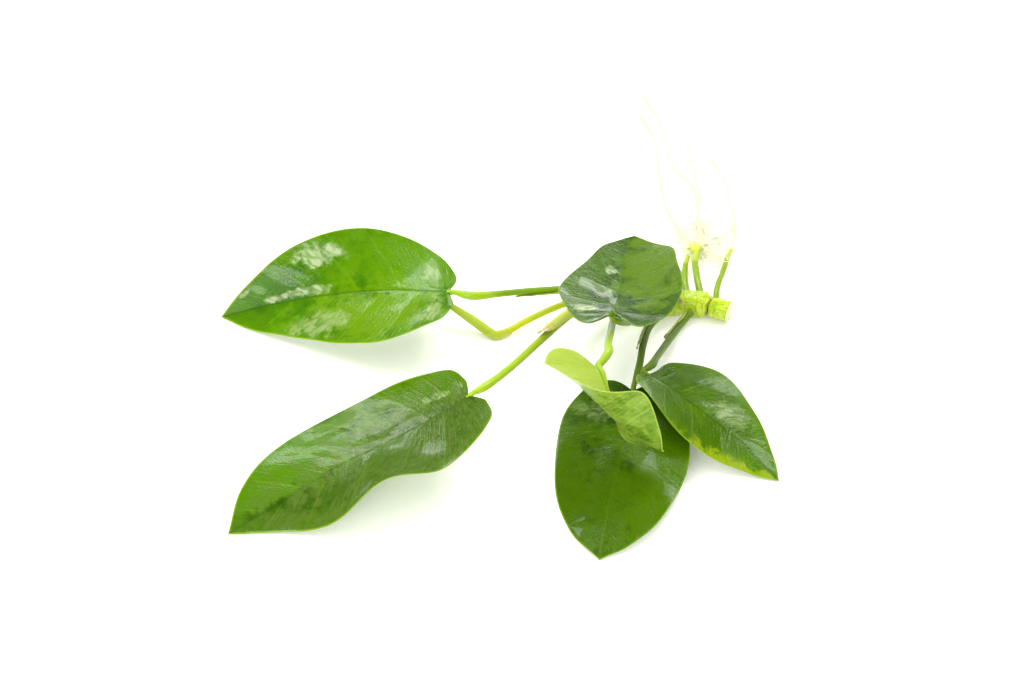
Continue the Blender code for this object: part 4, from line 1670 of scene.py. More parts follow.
@dataclass
class RootCloud:
    """The cloud of fine washed roots: many thin strands that fan out over the surface."""

    name: str
    finish: StemFinish
    starts: tuple[tuple[float, float, float], ...]
    count: int = 150
    spread: tuple[float, float] = (10.6, 21.0)
    middle: tuple[float, float] = (2.4, 35.5)
    strand: float = 0.10
    seed: int = 21

    def routes(self) -> tuple[list[np.ndarray], list[np.ndarray]]:
        """Scatter the strands.

        Returns:
            Points and radii of each strand, in millimetres.
        """
        rng = np.random.default_rng(self.seed)
        routes, radii = [], []
        anchors = np.array(self.starts, float)
        for _ in range(self.count):
            start = anchors[rng.integers(len(anchors))] + rng.normal(0.0, 0.5, 3)
            angle = rng.uniform(0.0, TURN)
            reach = math.sqrt(rng.uniform(0.05, 1.0))
            end = np.array((self.middle[0] + self.spread[0] * reach * math.cos(angle),
                            self.middle[1] + self.spread[1] * reach * math.sin(angle),
                            rng.uniform(0.15, 0.7)))
            side = rng.normal(0.0, 3.2, 3)
            knots = [start, start * 0.62 + end * 0.38 + side, start * 0.3 + end * 0.7 - side * 0.6,
                     end]
            line = spline(np.array(knots), np.linspace(0.0, 1.0, 14))
            low = 0.16 + (start[2] - 0.16) * np.linspace(1.0, 0.0, 14) ** 1.5
            line[:, 2] = np.clip(line[:, 2], 0.14, np.maximum(low + 0.8, 0.5))
            routes.append(line)
            thick = self.strand * rng.uniform(0.7, 1.5)
            radii.append(np.linspace(thick, thick * 0.35, 14))
        return routes, radii

    def build(self) -> bpy.types.Object:
        """Build the cloud.

        Returns:
            The finished piece.
        """
        routes, radii = self.routes()
        host = path_object(self.name, [placed(route) for route in routes],
                           [radius * MM for radius in radii])
        piece = grow(f"{self.name}_strands", host, Growth.STEM, {
            "Sides": 6, "Step": 0.0008, "Ribs": 1.0, "Rib Depth": 0.0, "Wander": 0.0016,
            "Wander Scale": 260.0, "Bend Seed": 9.0, "Material": self.finish.material()})
        drop(host)
        return piece


@dataclass
class Rhizome:
    """The creeping stem: ringed scars, a browned waist with old fibres, buds and a cut end."""

    name: str
    axis: tuple[tuple[float, float, float], ...]
    shares: tuple[float, ...]
    finish: RhizomeFinish
    fibre: FibreFinish
    radius: float = 3.7
    waist: float = 0.75
    scars: tuple[float, ...] = (0.10, 0.185, 0.27, 0.36, 0.46, 0.56, 0.64, 0.90)
    rings: int = 240
    around: int = 128
    seed: int = 7

    def surface(self, place: np.ndarray, angle: np.ndarray) -> tuple[np.ndarray, np.ndarray]:
        """Shape the skin.

        Args:
            place: Places along the stem, 0 to 1.
            angle: Angles about it, from level.

        Returns:
            Points in millimetres and the marks on them: scar, waist and cut end.
        """
        axis = np.array(self.axis)
        centre, level, raised = around_route(axis, place)
        rng = np.random.default_rng(self.seed)
        girth = spline(self.shares, place) * self.radius * 0.985
        round_place = np.stack([place * 24.0, np.cos(angle) * 3.5, np.sin(angle) * 3.5], -1)
        lumps = 0.30 * waves(round_place, self.seed, 6, 7.0, 2.2)
        grain = 0.07 * waves(round_place, self.seed + 1, 8, 1.6, 0.6)
        scar = np.zeros_like(place)
        for spot in self.scars:
            slant = 0.010 * np.cos(angle + rng.uniform(0.0, TURN))
            wiggle = 0.003 * np.sin(5.0 * angle + rng.uniform(0.0, TURN))
            scar = np.maximum(scar, np.exp(-((place - spot - slant - wiggle) / 0.0075) ** 2))
        waist = np.exp(-np.abs((place - self.waist) / 0.038) ** 3)
        frayed = 0.10 * waist * waves(np.stack([place * 90.0, angle], -1), 4, 6, 5.0, 1.2)
        cut = eased(place, 0.985, 0.998)
        groove = 0.06 * np.roll(scar, 5, 0) - 0.10 * scar
        bulge = girth + lumps * (1.0 - cut) + grain + groove + frayed
        point = centre + outwards_at(level, raised, angle) * bulge[..., None]
        point[..., 2] = np.maximum(point[..., 2], 0.004 * (1.0 + np.sin(9.0 * angle)))
        return point, np.stack([scar, waist, cut], -1)

    def build(self) -> list[bpy.types.Object]:
        """Build the stem with its old fibres.

        Returns:
            The finished pieces.
        """
        place, angle = grid(np.linspace(0.0, 1.0, self.rings),
                            np.arange(self.around) * TURN / self.around)
        points, marks = self.surface(place, angle)
        points, marks = self.with_ends(points, marks)
        rows = len(points)
        numbers = np.arange(rows * self.around).reshape(rows, self.around)
        after = np.roll(numbers, -1, 1)
        faces = [tuple(quad) for quad in ring_quads(numbers).tolist()]
        middles = np.stack([points[0].mean(0), points[-1].mean(0)])
        base = rows * self.around
        faces += [(int(a), int(b), base) for a, b in zip(numbers[0], after[0])]
        faces += [(int(b), int(a), base + 1) for a, b in zip(numbers[-1], after[-1])]
        every = np.vstack([points.reshape(-1, 3), middles])
        stem = mesh_piece(f"{self.name}_skin", placed(every), faces, self.finish.material())
        give_values(stem, "marks", np.vstack([marks.reshape(-1, 3), marks[0, 0], marks[-1, 0]]))
        return [stem, self.old_fibres(points, marks)]

    def with_ends(self, points: np.ndarray, marks: np.ndarray) -> tuple[np.ndarray, np.ndarray]:
        """Round both ends off with rings that shrink towards their middles.

        Args:
            points: Rings of points.
            marks: The marks on them.

        Returns:
            More rings and their marks.
        """
        starts, ends = [], []
        for share, push in ((0.04, 0.10), (0.12, 0.16), (0.35, 0.12), (0.7, 0.05)):
            for ring, other, made, reach in ((points[0], points[1], starts, 2.6),
                                             (points[-1], points[-2], ends, 1.0)):
                out = unit((ring - other).mean(0))
                made.append(ring + (ring.mean(0) - ring) * share + out * push * reach)
        points = np.concatenate([np.array(starts[::-1]), points, np.array(ends)])
        first = np.repeat(marks[:1], len(starts), 0)
        last = np.repeat(marks[-1:], len(ends), 0)
        points[..., 2] = np.maximum(points[..., 2], 0.002)
        return points, np.concatenate([first, marks, last])

    def old_fibres(self, points: np.ndarray, marks: np.ndarray) -> bpy.types.Object:
        """Grow dry fibres about the waist.

        Args:
            points: Rings of points of the skin.
            marks: The marks on them.

        Returns:
            The finished piece.
        """
        rows = np.nonzero(marks[:, 0, 1] > 0.35)[0]
        band = points[rows]
        local = np.arange(band.shape[0] * self.around).reshape(band.shape[0], self.around)
        quads = ring_quads(local)
        material = self.fibre.material()
        high = band.reshape(-1, 3)[quads].mean(1)[:, 2] > 1.2
        skin = mesh_piece(f"{self.name}_band", placed(band.reshape(-1, 3)), quads[high].tolist(),
                          material)
        fibres = grow(f"{self.name}_fibres", skin, Growth.SKIN_FIBRES, {
            "Density": 3.2e6, "Lean": 1.5, "Length": 0.0021, "Bend": 0.7, "Thickness": 0.028,
            "Seed": 5, "Material": material})
        drop(skin)
        return fibres


@dataclass
class YoungLeaf:
    """The furled young leaf: a thin sheet rolled about its path to a point."""

    name: str
    route: tuple[tuple[float, float, float], ...]
    girth: tuple[float, ...]
    finish: SheathFinish
    turns: float = 1.75
    wall: float = 0.13
    rows: int = 90
    columns: int = 84

    def build(self) -> bpy.types.Object:
        """Build the roll.

        Returns:
            The finished piece.
        """
        row, column = grid(np.linspace(0.0, 1.0, self.rows), np.linspace(0.0, 1.0, self.columns))
        centre, level, raised = around_route(np.array(self.route, float), row)
        girth = spline(self.girth, row)
        angle = TURN * self.turns * column + 1.1 + 0.5 * row
        spread = girth * (0.62 + 0.38 * column) + 0.03 * np.cos(TURN * 14.0 * column) * girth
        across = outwards_at(level, raised, angle)
        walls = [centre + across * (spread + offset)[..., None]
                 for offset in (self.wall / 2, -self.wall / 2)]
        places = np.stack([column * 2.0, row], -1)
        return walled_sheet(f"{self.name}_roll", *walls, places, self.finish.material())


@dataclass
class DryScrap:
    """A dry brown scrap of an old sheath that clings to the rhizome."""

    name: str
    middle: tuple[float, float, float]
    size: tuple[float, float]
    heading: float
    finish: SheathFinish
    seed: int = 11
    cells: int = 40

    def build(self) -> bpy.types.Object:
        """Build the scrap.

        Returns:
            The finished piece.
        """
        row, column = grid(np.linspace(-1.0, 1.0, self.cells), np.linspace(-1.0, 1.0, self.cells))
        flat = np.stack([row * 3.0, column * 2.0], -1)
        ragged = 1.0 + 0.18 * waves(flat, self.seed, 5, 3.0, 0.8)
        taper = np.sqrt(np.clip(1.02 - row**2, 0.02, 1.0))
        x = row * self.size[0] * ragged
        y = column * self.size[1] * ragged * taper
        z = 0.45 * waves(flat, self.seed + 2, 4, 4.0, 1.6) - 0.5 * column**2
        turn = math.radians(self.heading)
        spun = np.stack([x * math.cos(turn) - y * math.sin(turn),
                         x * math.sin(turn) + y * math.cos(turn), z], -1) + np.array(self.middle)
        walls = [spun + np.array((0.0, 0.0, offset)) for offset in (0.06, -0.06)]
        places = np.stack([column * 0.5 + 0.5, row * 0.5 + 0.5], -1)
        return walled_sheet(f"{self.name}_flake", *walls, places, self.finish.material())


# ---------------------------------------------------------------------------
# The room
# ---------------------------------------------------------------------------


@dataclass(frozen=True)
class SoftBox:
    """A rectangular soft light that looks at the plant."""

    name: str
    azimuth: float
    elevation: float
    distance: float
    size: tuple[float, float]
    power: float
    mirrored: bool = True
    target: tuple[float, float, float] = (-0.045, 0.0, 0.01)

    def build(self) -> bpy.types.Object:
        """Hang the light.

        Returns:
            The light object.
        """
        lamp = bpy.data.lights.new(self.name, "AREA")
        lamp.shape = "RECTANGLE"
        lamp.size, lamp.size_y = self.size
        lamp.energy = self.power
        turn, lift = math.radians(self.azimuth), math.radians(self.elevation)
        away = Vector((math.sin(turn) * math.cos(lift), math.cos(turn) * math.cos(lift),
                       math.sin(lift)))
        light = bpy.data.objects.new(self.name, lamp)
        light.location = Vector(self.target) + away * self.distance
        light.rotation_euler = away.to_track_quat("Z", "Y").to_euler()
        light.visible_glossy = self.mirrored
        bpy.context.scene.collection.objects.link(light)
        return light


@dataclass
class Studio:
    """The pale surface, the soft light and the camera."""

    camera_place: tuple[float, float, float] = (-0.045745, -0.497141, 0.406305)
    camera_target: tuple[float, float, float] = (-0.045745, -0.012925, 0.0)
    lens: float = 80.0
    sensor: float = 36.0
    floor_reach: float = 4.0
    seen_sky: float = 1.05
    soft_sky: float = 0.85
    mirrored_sky: float = 0.03
    lights: tuple[SoftBox, ...] = ()

    def build_floor(self) -> bpy.types.Object:
        """Lay the surface that the plant rests on."""
        reach = self.floor_reach
        corners = [(-reach, -reach, 0.0), (reach, -reach, 0.0), (reach, reach, 0.0),
                   (-reach, reach, 0.0)]
        floor = mesh_piece("pale_surface", np.array(corners), [(0, 1, 2, 3)],
                           TableFinish().material())
        return floor

    def build_sky(self) -> None:
        """Surround the scene with soft white light, brighter where the camera looks at it."""
        world = bpy.data.worlds.new("soft sky")
        world.use_nodes = True
        graph = Graph(world.node_tree)
        sky = world.node_tree.nodes["Background"]
        rays = graph.node("ShaderNodeLightPath").outputs
        graph.feed(sky.inputs["Color"], (1.0, 0.995, 0.985))
        seen, mirrored = self.seen_sky - self.soft_sky, self.mirrored_sky - self.soft_sky
        strength = graph.math("MULTIPLY_ADD", rays["Is Camera Ray"], seen, self.soft_sky)
        strength = graph.math("MULTIPLY_ADD", rays["Is Glossy Ray"], mirrored, strength)
        graph.feed(sky.inputs["Strength"], strength)
        bpy.context.scene.world = world

    def build_camera(self) -> bpy.types.Object:
        """Set the camera over the front of the plant.

        Returns:
            The camera object.
        """
        lens = bpy.data.cameras.new("camera")
        lens.lens = self.lens
        lens.sensor_width = self.sensor
        lens.clip_start = 0.01
        camera = bpy.data.objects.new("camera", lens)
        camera.location = self.camera_place
        back = Vector(self.camera_place) - Vector(self.camera_target)
        camera.rotation_euler = back.to_track_quat("Z", "Y").to_euler()
        bpy.context.scene.collection.objects.link(camera)
        bpy.context.scene.camera = camera
        return camera

    def build(self) -> None:
        """Build the whole room."""
        self.build_floor()
        self.build_sky()
        for light in self.lights:
            light.build()
        self.build_camera()
        bpy.context.scene.view_settings.view_transform = "Standard"


LIGHTS = (
    SoftBox("key box", azimuth=-14.0, elevation=50.0, distance=0.95, size=(0.40, 0.34), power=4.6),
    SoftBox("left box", azimuth=-78.0, elevation=46.0, distance=0.95, size=(0.5, 0.5), power=4.6,
            mirrored=False),
    SoftBox("right box", azimuth=47.0, elevation=55.0, distance=0.95, size=(0.26, 0.28), power=3.2),
    SoftBox("low back box", azimuth=13.0, elevation=9.0, distance=0.95, size=(0.15, 0.10),
            power=0.45),
    SoftBox("front left box", azimuth=-163.0, elevation=22.0, distance=0.95, size=(0.36, 0.40),
            power=6.0),
    SoftBox("overhead box", azimuth=150.0, elevation=80.0, distance=1.2, size=(1.6, 1.4), power=9.0,
            mirrored=False),
)

# ---------------------------------------------------------------------------
# The plant's own finishes and sizes
# ---------------------------------------------------------------------------

# Colours of painted highlights: the water film's glare and sheen, painted onto the blades.
GLARE_WHITE: Colour = (0.34, 0.40, 0.22)
SHEEN_GREEN: Colour = (0.20, 0.265, 0.095)
SHEEN_GREY: Colour = (0.070, 0.108, 0.018)
PALE_RIM: Colour = (0.17, 0.28, 0.010)
SHADE_RIB: Colour = (0.010, 0.045, 0.0004)

MID_LEAF = dict(
    slot="wet_leaf", deep=(0.022, 0.090, 0.0003), main=(0.050, 0.150, 0.0005),
    light=(0.095, 0.210, 0.0015), vein=(0.150, 0.250, 0.005), rib=SHADE_RIB,
    under=(0.12, 0.24, 0.012), rim=PALE_RIM,
)
DARK_LEAF = dict(
    slot="dark_leaf", deep=(0.0075, 0.028, 0.0003), main=(0.0230, 0.068, 0.0006),
    light=(0.050, 0.120, 0.0010), vein=(0.045, 0.105, 0.002), rib=(0.058, 0.125, 0.003),
    under=(0.10, 0.20, 0.012), rim=(0.12, 0.22, 0.004), dryness=0.22,
)

LEFT_FINISH = LeafFinish(
    name="left leaf", **MID_LEAF, seed=0.31, cover=0.66, film_scale=62.0,
    patches=(Patch(0.4, 0.50, (0.30, 0.25), (0.095, 0.190, 0.0008), 0.8),
             Patch(-0.5, 0.35, (0.4, 0.35), (0.075, 0.180, 0.0006), 0.6)),
    # painted highlights: glare and sheen of the water film
    painted_reflections=(Patch(-0.71, 0.65, (0.10, 0.050), GLARE_WHITE, 0.85, 0.5),
          Patch(-0.42, 0.37, (0.10, 0.065), SHEEN_GREEN, 0.75, 0.5),
          Patch(-0.12, 0.10, (0.12, 0.080), GLARE_WHITE, 0.60, 0.6),
          Patch(-0.18, 0.77, (0.08, 0.090), GLARE_WHITE, 0.80, 0.5),
          Patch(0.55, 0.32, (0.22, 0.045), SHEEN_GREEN, 0.90, 0.6),
          Patch(0.55, 0.15, (0.22, 0.050), SHEEN_GREEN, 0.90, 0.6),
          Patch(0.68, 0.65, (0.17, 0.065), SHEEN_GREEN, 0.80, 0.6),
          Patch(-0.85, 0.86, (0.08, 0.035), GLARE_WHITE, 0.90, 0.5)),
)
FRONT_LEFT_FINISH = LeafFinish(
    name="front left leaf",
    **MID_LEAF | dict(deep=(0.0130, 0.046, 0.0002), main=(0.0300, 0.084, 0.0004)),
    seed=0.77, cover=0.60, film_scale=75.0,
    patches=(Patch(-0.6, 0.74, (0.35, 0.20), (0.050, 0.138, 0.0004), 1.0),
             Patch(-0.75, 0.30, (0.25, 0.3), (0.060, 0.140, 0.0006), 0.6)),
    # painted highlights: grey sheen and glare of the water film, with two darker spots
    painted_reflections=(Patch(0.30, 0.52, (0.60, 0.42), SHEEN_GREY, 0.75, 0.7),
          Patch(-0.55, 0.24, (0.09, 0.045), SHEEN_GREEN, 0.75, 0.25),
          Patch(-0.40, 0.40, (0.07, 0.060), SHEEN_GREEN, 0.75, 0.25),
          Patch(0.50, 0.70, (0.08, 0.050), (0.030, 0.080, 0.002), 0.85, 0.3),
          Patch(0.15, 0.62, (0.05, 0.090), (0.035, 0.085, 0.004), 0.80, 0.3)),
)
ROUND_FINISH = LeafFinish(
    name="round leaf", **DARK_LEAF, seed=0.12, cover=0.55, film_scale=80.0, vein_share=0.1,
    patches=(Patch(-0.6, 0.72, (0.4, 0.3), (0.078, 0.150, 0.0008), 0.8),
             Patch(0.75, 0.62, (0.3, 0.35), (0.050, 0.115, 0.0006), 0.6)),
    # painted highlights: glare streaks of the water film
    painted_reflections=(Patch(0.60, 0.36, (0.16, 0.035), GLARE_WHITE, 0.90, 0.6),
          Patch(0.42, 0.16, (0.18, 0.030), GLARE_WHITE, 0.90, 0.6),
          Patch(0.30, 0.68, (0.09, 0.035), GLARE_WHITE, 0.75, 0.6),
          Patch(-0.25, 0.16, (0.12, 0.025), GLARE_WHITE, 0.80, 0.6)),
)
CURLED_FINISH = LeafFinish(
    name="curled leaf", slot="pale_leaf", deep=(0.040, 0.110, 0.0006), main=(0.075, 0.165, 0.0020),
    light=(0.22, 0.34, 0.03), vein=(0.34, 0.44, 0.07), rib=(0.40, 0.50, 0.10),
    under=(0.30, 0.39, 0.048), rim=(0.30, 0.40, 0.05), seed=0.5, cover=0.42, film_scale=90.0,
    line_share=0.25,
    patches=(Patch(0.0, 0.40, (0.5, 0.6), (0.20, 0.29, 0.04), 0.8),),
)
FRONT_FINISH = LeafFinish(
    name="front leaf", **DARK_LEAF, seed=0.93, cover=0.6, film_scale=66.0, rib_share=0.6,
    patches=(Patch(0.8, 0.55, (0.4, 0.5), (0.050, 0.115, 0.0004), 0.9),
             Patch(-0.9, 0.70, (0.3, 0.4), (0.048, 0.105, 0.0010), 0.7),
             Patch(0.0, 0.80, (0.5, 0.35), (0.046, 0.105, 0.0010), 0.8)),
    # painted highlights: faint sheen of the water film
    painted_reflections=(Patch(-0.50, 0.44, (0.20, 0.045), SHEEN_GREEN, 0.45, 0.7),
          Patch(0.40, 0.47, (0.10, 0.050), SHEEN_GREEN, 0.35, 0.7)),
)
RIGHT_FINISH = LeafFinish(
    name="right leaf",
    **MID_LEAF | dict(deep=(0.0240, 0.066, 0.0006), main=(0.0500, 0.115, 0.0012)),
    seed=0.65, cover=0.55, film_scale=72.0,
    patches=(Patch(-1.0, 0.74, (0.13, 0.20), (0.190, 0.255, 0.0005), 0.9, 0.6),
             Patch(-0.8, 0.92, (0.26, 0.09), (0.185, 0.250, 0.0005), 0.9, 0.6)),
    # painted highlight: sheen of the water film
    painted_reflections=(Patch(0.45, 0.66, (0.16, 0.060), SHEEN_GREEN, 0.60, 0.7),),
)

BLADES = {
    "left": LeafBlade(
        name="blade_left", base=(-71, -8, 15.5), length=67, heading=(168, 173, 180),
        pitch=(-5, -13.5, -20), roll=(0, -26, -44),
        left=Half(21, (0, 8, 14), (5, 20, 32), 0.05, 0.28, 0.66, 0.32, 0.08),
        right=Half(19, (-4, 16, 30), (0, 4, 8), 0.01, 0.33, 0.80, 0.34, 0.09),
        finish=LEFT_FINISH, pairs=9.0, seed=3),
    "front left": LeafBlade(
        name="blade_front_left", base=(-65, -53, 17), length=71.5, heading=(204, 212, 210, 207),
        pitch=(-24, -5.4, -15.4, -17.4), roll=(8, 0, -8, -30),
        left=Half(20, (8, 2, 6, -10, -14), (-20, 4, 38, 12, 0), 0.06, 0.36, 0.80, 0.28),
        right=Half(17.5, (0, -2, 4, 12), (24, 0, -10, 0), 0.03, 0.26, 0.91, 0.52),
        finish=FRONT_LEFT_FINISH, pairs=9.5, seed=8),
    "round": LeafBlade(
        name="blade_round", base=(-27, -30, 26), length=45.5, heading=(81, 82, 74),
        pitch=(-18, -9, -5), roll=(6, 1, -3),
        left=Half(15.7, (-1, 6, 2), (10, 4, -8), 0.30, 0.19, 0.64, 0.40),
        right=Half(17.5, (1, 6, 2), (17, 20, 12), 0.19, 0.28, 0.86, 0.66),
        finish=ROUND_FINISH, pairs=7.0, seed=14),
    "curled": LeafBlade(
        name="blade_curled", base=(-31, -50, 23), length=29, heading=(285, 290, 324, 352),
        pitch=(-10, -30, -17, -26), roll=(158, 167, 152, 154),
        left=Half(20, (-4, -26, -19, -6), (3, -46, -76, -130), 0.29, 0.30, 1.0, 0.54),
        right=Half(7, (50, 30, 30, 20), (20, 48, 40, 20), -0.05, 0.32, 0.85, 0.40),
        finish=CURLED_FINISH, pairs=7.0, quilt=0.06, ripple=0.1, buckle=0.1, rib_height=0.55,
        seed=21),
    "front": LeafBlade(
        name="blade_front", base=(-22, -46.2, 13), length=52.5, heading=(260, 257, 262),
        pitch=(-27, -8.6, -14.8), roll=(0, 3, -4),
        left=Half(17.3, (-16, 0, 8), (-4, 1, 2), 0.08, 0.29, 0.93, 0.57),
        right=Half(17.2, (-6, -1, 7), (8, 16, 26), 0.06, 0.23, 0.86, 0.54),
        finish=FRONT_FINISH, pairs=8.0, seed=27),
    "right": LeafBlade(
        name="blade_right", base=(-18, -43.2, 16), length=44.5, heading=(336, 326, 306),
        pitch=(-22, -22, -14), roll=(-16, 1, 10),
        left=Half(15.8, (-6, -3, -8), (18, 8, -2), -0.06, 0.33, 0.66, 0.25),
        right=Half(13.4, (8, 6, -4), (-4, 0, 6), 0.07, 0.29, 0.79, 0.36),
        finish=RIGHT_FINISH, pairs=8.0, seed=33),
}

STALK_TONES = dict(slot="stalk", base=(0.30, 0.42, 0.01), main=(0.130, 0.235, 0.0015),
                   tip=(0.24, 0.38, 0.004), streak=(0.20, 0.30, 0.008))
DARK_STALK_TONES = dict(slot="dark_stalk", base=(0.14, 0.24, 0.004), main=(0.075, 0.140, 0.0015),
                        tip=(0.14, 0.24, 0.004), streak=(0.14, 0.21, 0.012), roughness=0.40,
                        coat=0.10)

STALKS = {
    "left": LeafStalk(
        name="stalk_left",
        route=((-20, 5.2, 5.4), (-31.8, 4.6, 7), (-40.3, 2, 8.5), (-48.7, -2, 11),
               (-57, -6.3, 13.5), (-63.2, -9.4, 15.2), (-66.4, -9.8, 15.9)),
        shares=(1.0, 1.0, 1.0, 1.0, 1.0, 1.25, 1.2, 0.7),
        finish=StemFinish(name="left stalk", **STALK_TONES, tip_start=0.70, seed=1.0),
        blade=BLADES["left"]),
    "front left": LeafStalk(
        name="stalk_front_left",
        route=((-20.5, 0.6, 4.5), (-30, -0.9, 7), (-37.4, -10, 9.5), (-45.8, -25.4, 13),
               (-52.6, -38, 15.6), (-57.6, -46.2, 17.2), (-61, -50.4, 17.8)),
        shares=(1.2, 1.25, 1.25, 1.15, 1.1, 1.1, 1.2, 0.7),
        finish=StemFinish(name="front left stalk",
                          **STALK_TONES | dict(main=(0.24, 0.36, 0.006), streak=(0.34, 0.44, 0.02)),
                          tip_start=0.74, seed=2.0),
        blade=BLADES["front left"]),
    "round": LeafStalk(
        name="stalk_round",
        route=((-14.4, -2.8, 7.6), (-17, -9, 10), (-19.8, -17.4, 14), (-22.4, -24.6, 18.4),
               (-24.9, -29.4, 22.4)),
        shares=(1.0, 1.0, 1.0, 1.0, 1.0, 0.75),
        finish=StemFinish(name="round stalk", **STALK_TONES, seed=3.0),
        blade=BLADES["round"], meets=(0.2, 1.7)),
    "curled": LeafStalk(
        name="stalk_curled",
        route=((-18.8, -2.2, 6.2), (-22.6, -9.6, 9.4), (-25.6, -18.2, 14.2), (-26.8, -25, 18.4),
               (-27.5, -31, 20.8), (-28.1, -36.2, 22.8), (-28.7, -40.4, 23.9),
               (-28.7, -43.9, 24.3)),
        shares=(1.0, 1.0, 1.0, 1.0, 1.0, 1.0, 1.05, 1.25, 0.95),
        finish=StemFinish(name="curled stalk",
                          **STALK_TONES | dict(main=(0.19, 0.30, 0.012), streak=(0.30, 0.40, 0.05)),
                          tip_start=0.74, seed=4.0),
        blade=BLADES["curled"], meets=(1.6, 0.0)),
    "front": LeafStalk(
        name="stalk_front",
        route=((-11.2, -2.8, 4.4), (-13.6, -9, 7), (-16.6, -17.6, 10.2), (-18.6, -27.6, 12.6),
               (-19.6, -34.6, 13.4), (-20.6, -40.6, 13.8)),
        shares=(1.0, 1.0, 1.0, 1.0, 1.0, 1.1, 0.7),
        finish=StemFinish(name="front stalk", **DARK_STALK_TONES, seed=5.0),
        blade=BLADES["front"]),
    "right": LeafStalk(
        name="stalk_right",
        route=((-4.4, -3.4, 3.6), (-6.1, -8.4, 5.5), (-9.1, -16.6, 8.4), (-12.8, -27, 11.8),
               (-15.5, -35, 14.6), (-16.9, -39.4, 16)),
        shares=(1.0, 1.0, 1.0, 1.0, 1.0, 1.15, 0.7),
        finish=StemFinish(name="right stalk", **DARK_STALK_TONES, seed=6.0),
        blade=BLADES["right"], meets=(1.7, 0.0)),
    "young": LeafStalk(
        name="stalk_young",
        route=((-22.4, 9.6, 2.2), (-31, 6.4, 2.6), (-40.3, 1.6, 2.8), (-48.7, -3.8, 2.4),
               (-54.6, -8, 1.6)),
        shares=(1.0, 1.0, 1.0, 1.0, 1.0),
        finish=StemFinish(name="young stalk", slot="young", base=(0.38, 0.46, 0.010),
                          main=(0.36, 0.44, 0.006),
                          tip=(0.44, 0.47, 0.005), streak=(0.46, 0.52, 0.02), seed=7.0)),
}

SHEATH_TONES = dict(slot="sheath", base=(0.26, 0.38, 0.02), main=(0.38, 0.46, 0.06),
                    tip=(0.30, 0.26, 0.07), line=(0.48, 0.52, 0.16))
SHEATHS = (
    StalkSheath("sheath_left", STALKS["left"], 0.05, 0.50, 250, 150, 0.1,
                SheathFinish(name="left sheath", **SHEATH_TONES | dict(
                    slot="stalk", base=(0.20, 0.32, 0.008), main=(0.16, 0.28, 0.004),
                    tip=(0.22, 0.28, 0.015), line=(0.26, 0.36, 0.02)), seed=0.2)),
    StalkSheath("sheath_front_left", STALKS["front left"], 0.10, 0.43, 60, 230, 0.8,
                SheathFinish(name="front left sheath", **SHEATH_TONES | dict(
                    main=(0.48, 0.56, 0.06), tip=(0.46, 0.36, 0.10)), seed=0.4)),
    StalkSheath("sheath_front", STALKS["front"], 0.10, 0.55, 20, 140, 0.2,
                SheathFinish(name="front sheath", **SHEATH_TONES | dict(
                    slot="pale_leaf", main=(0.30, 0.42, 0.04)), seed=0.6)),
    StalkSheath("sheath_right", STALKS["right"], 0.06, 0.42, 10, 140, 0.2,
                SheathFinish(name="right sheath", **SHEATH_TONES | dict(
                    slot="pale_leaf", main=(0.36, 0.46, 0.07)), seed=0.8)),
)

GREEN_ROOT = StemFinish(name="green root", slot="green_root", base=(0.24, 0.36, 0.004),
                        main=(0.16, 0.26, 0.004), tip=(0.36, 0.44, 0.03), streak=(0.32, 0.42, 0.03),
                        tip_start=0.80, fineness=5.0, glow=0.3)
PALE_ROOT = StemFinish(name="pale root", slot="pale_root", base=(0.72, 0.80, 0.30),
                       main=(0.86, 0.86, 0.30), tip=(0.82, 0.78, 0.22), streak=(0.93, 0.93, 0.62),
                       tip_start=0.9, base_reach=0.25, fineness=4.0, roughness=0.35, coat=0.4,
                       glow=0.5)
THREAD_ROOT = StemFinish(name="thread root", slot="pale_root", base=(0.86, 0.88, 0.46),
                         main=(0.94, 0.94, 0.62), tip=(0.95, 0.95, 0.70), streak=(0.96, 0.96, 0.78),
                         tip_start=0.9, base_reach=0.3, fineness=2.0, roughness=0.4, coat=0.2,
                         glow=0.5)

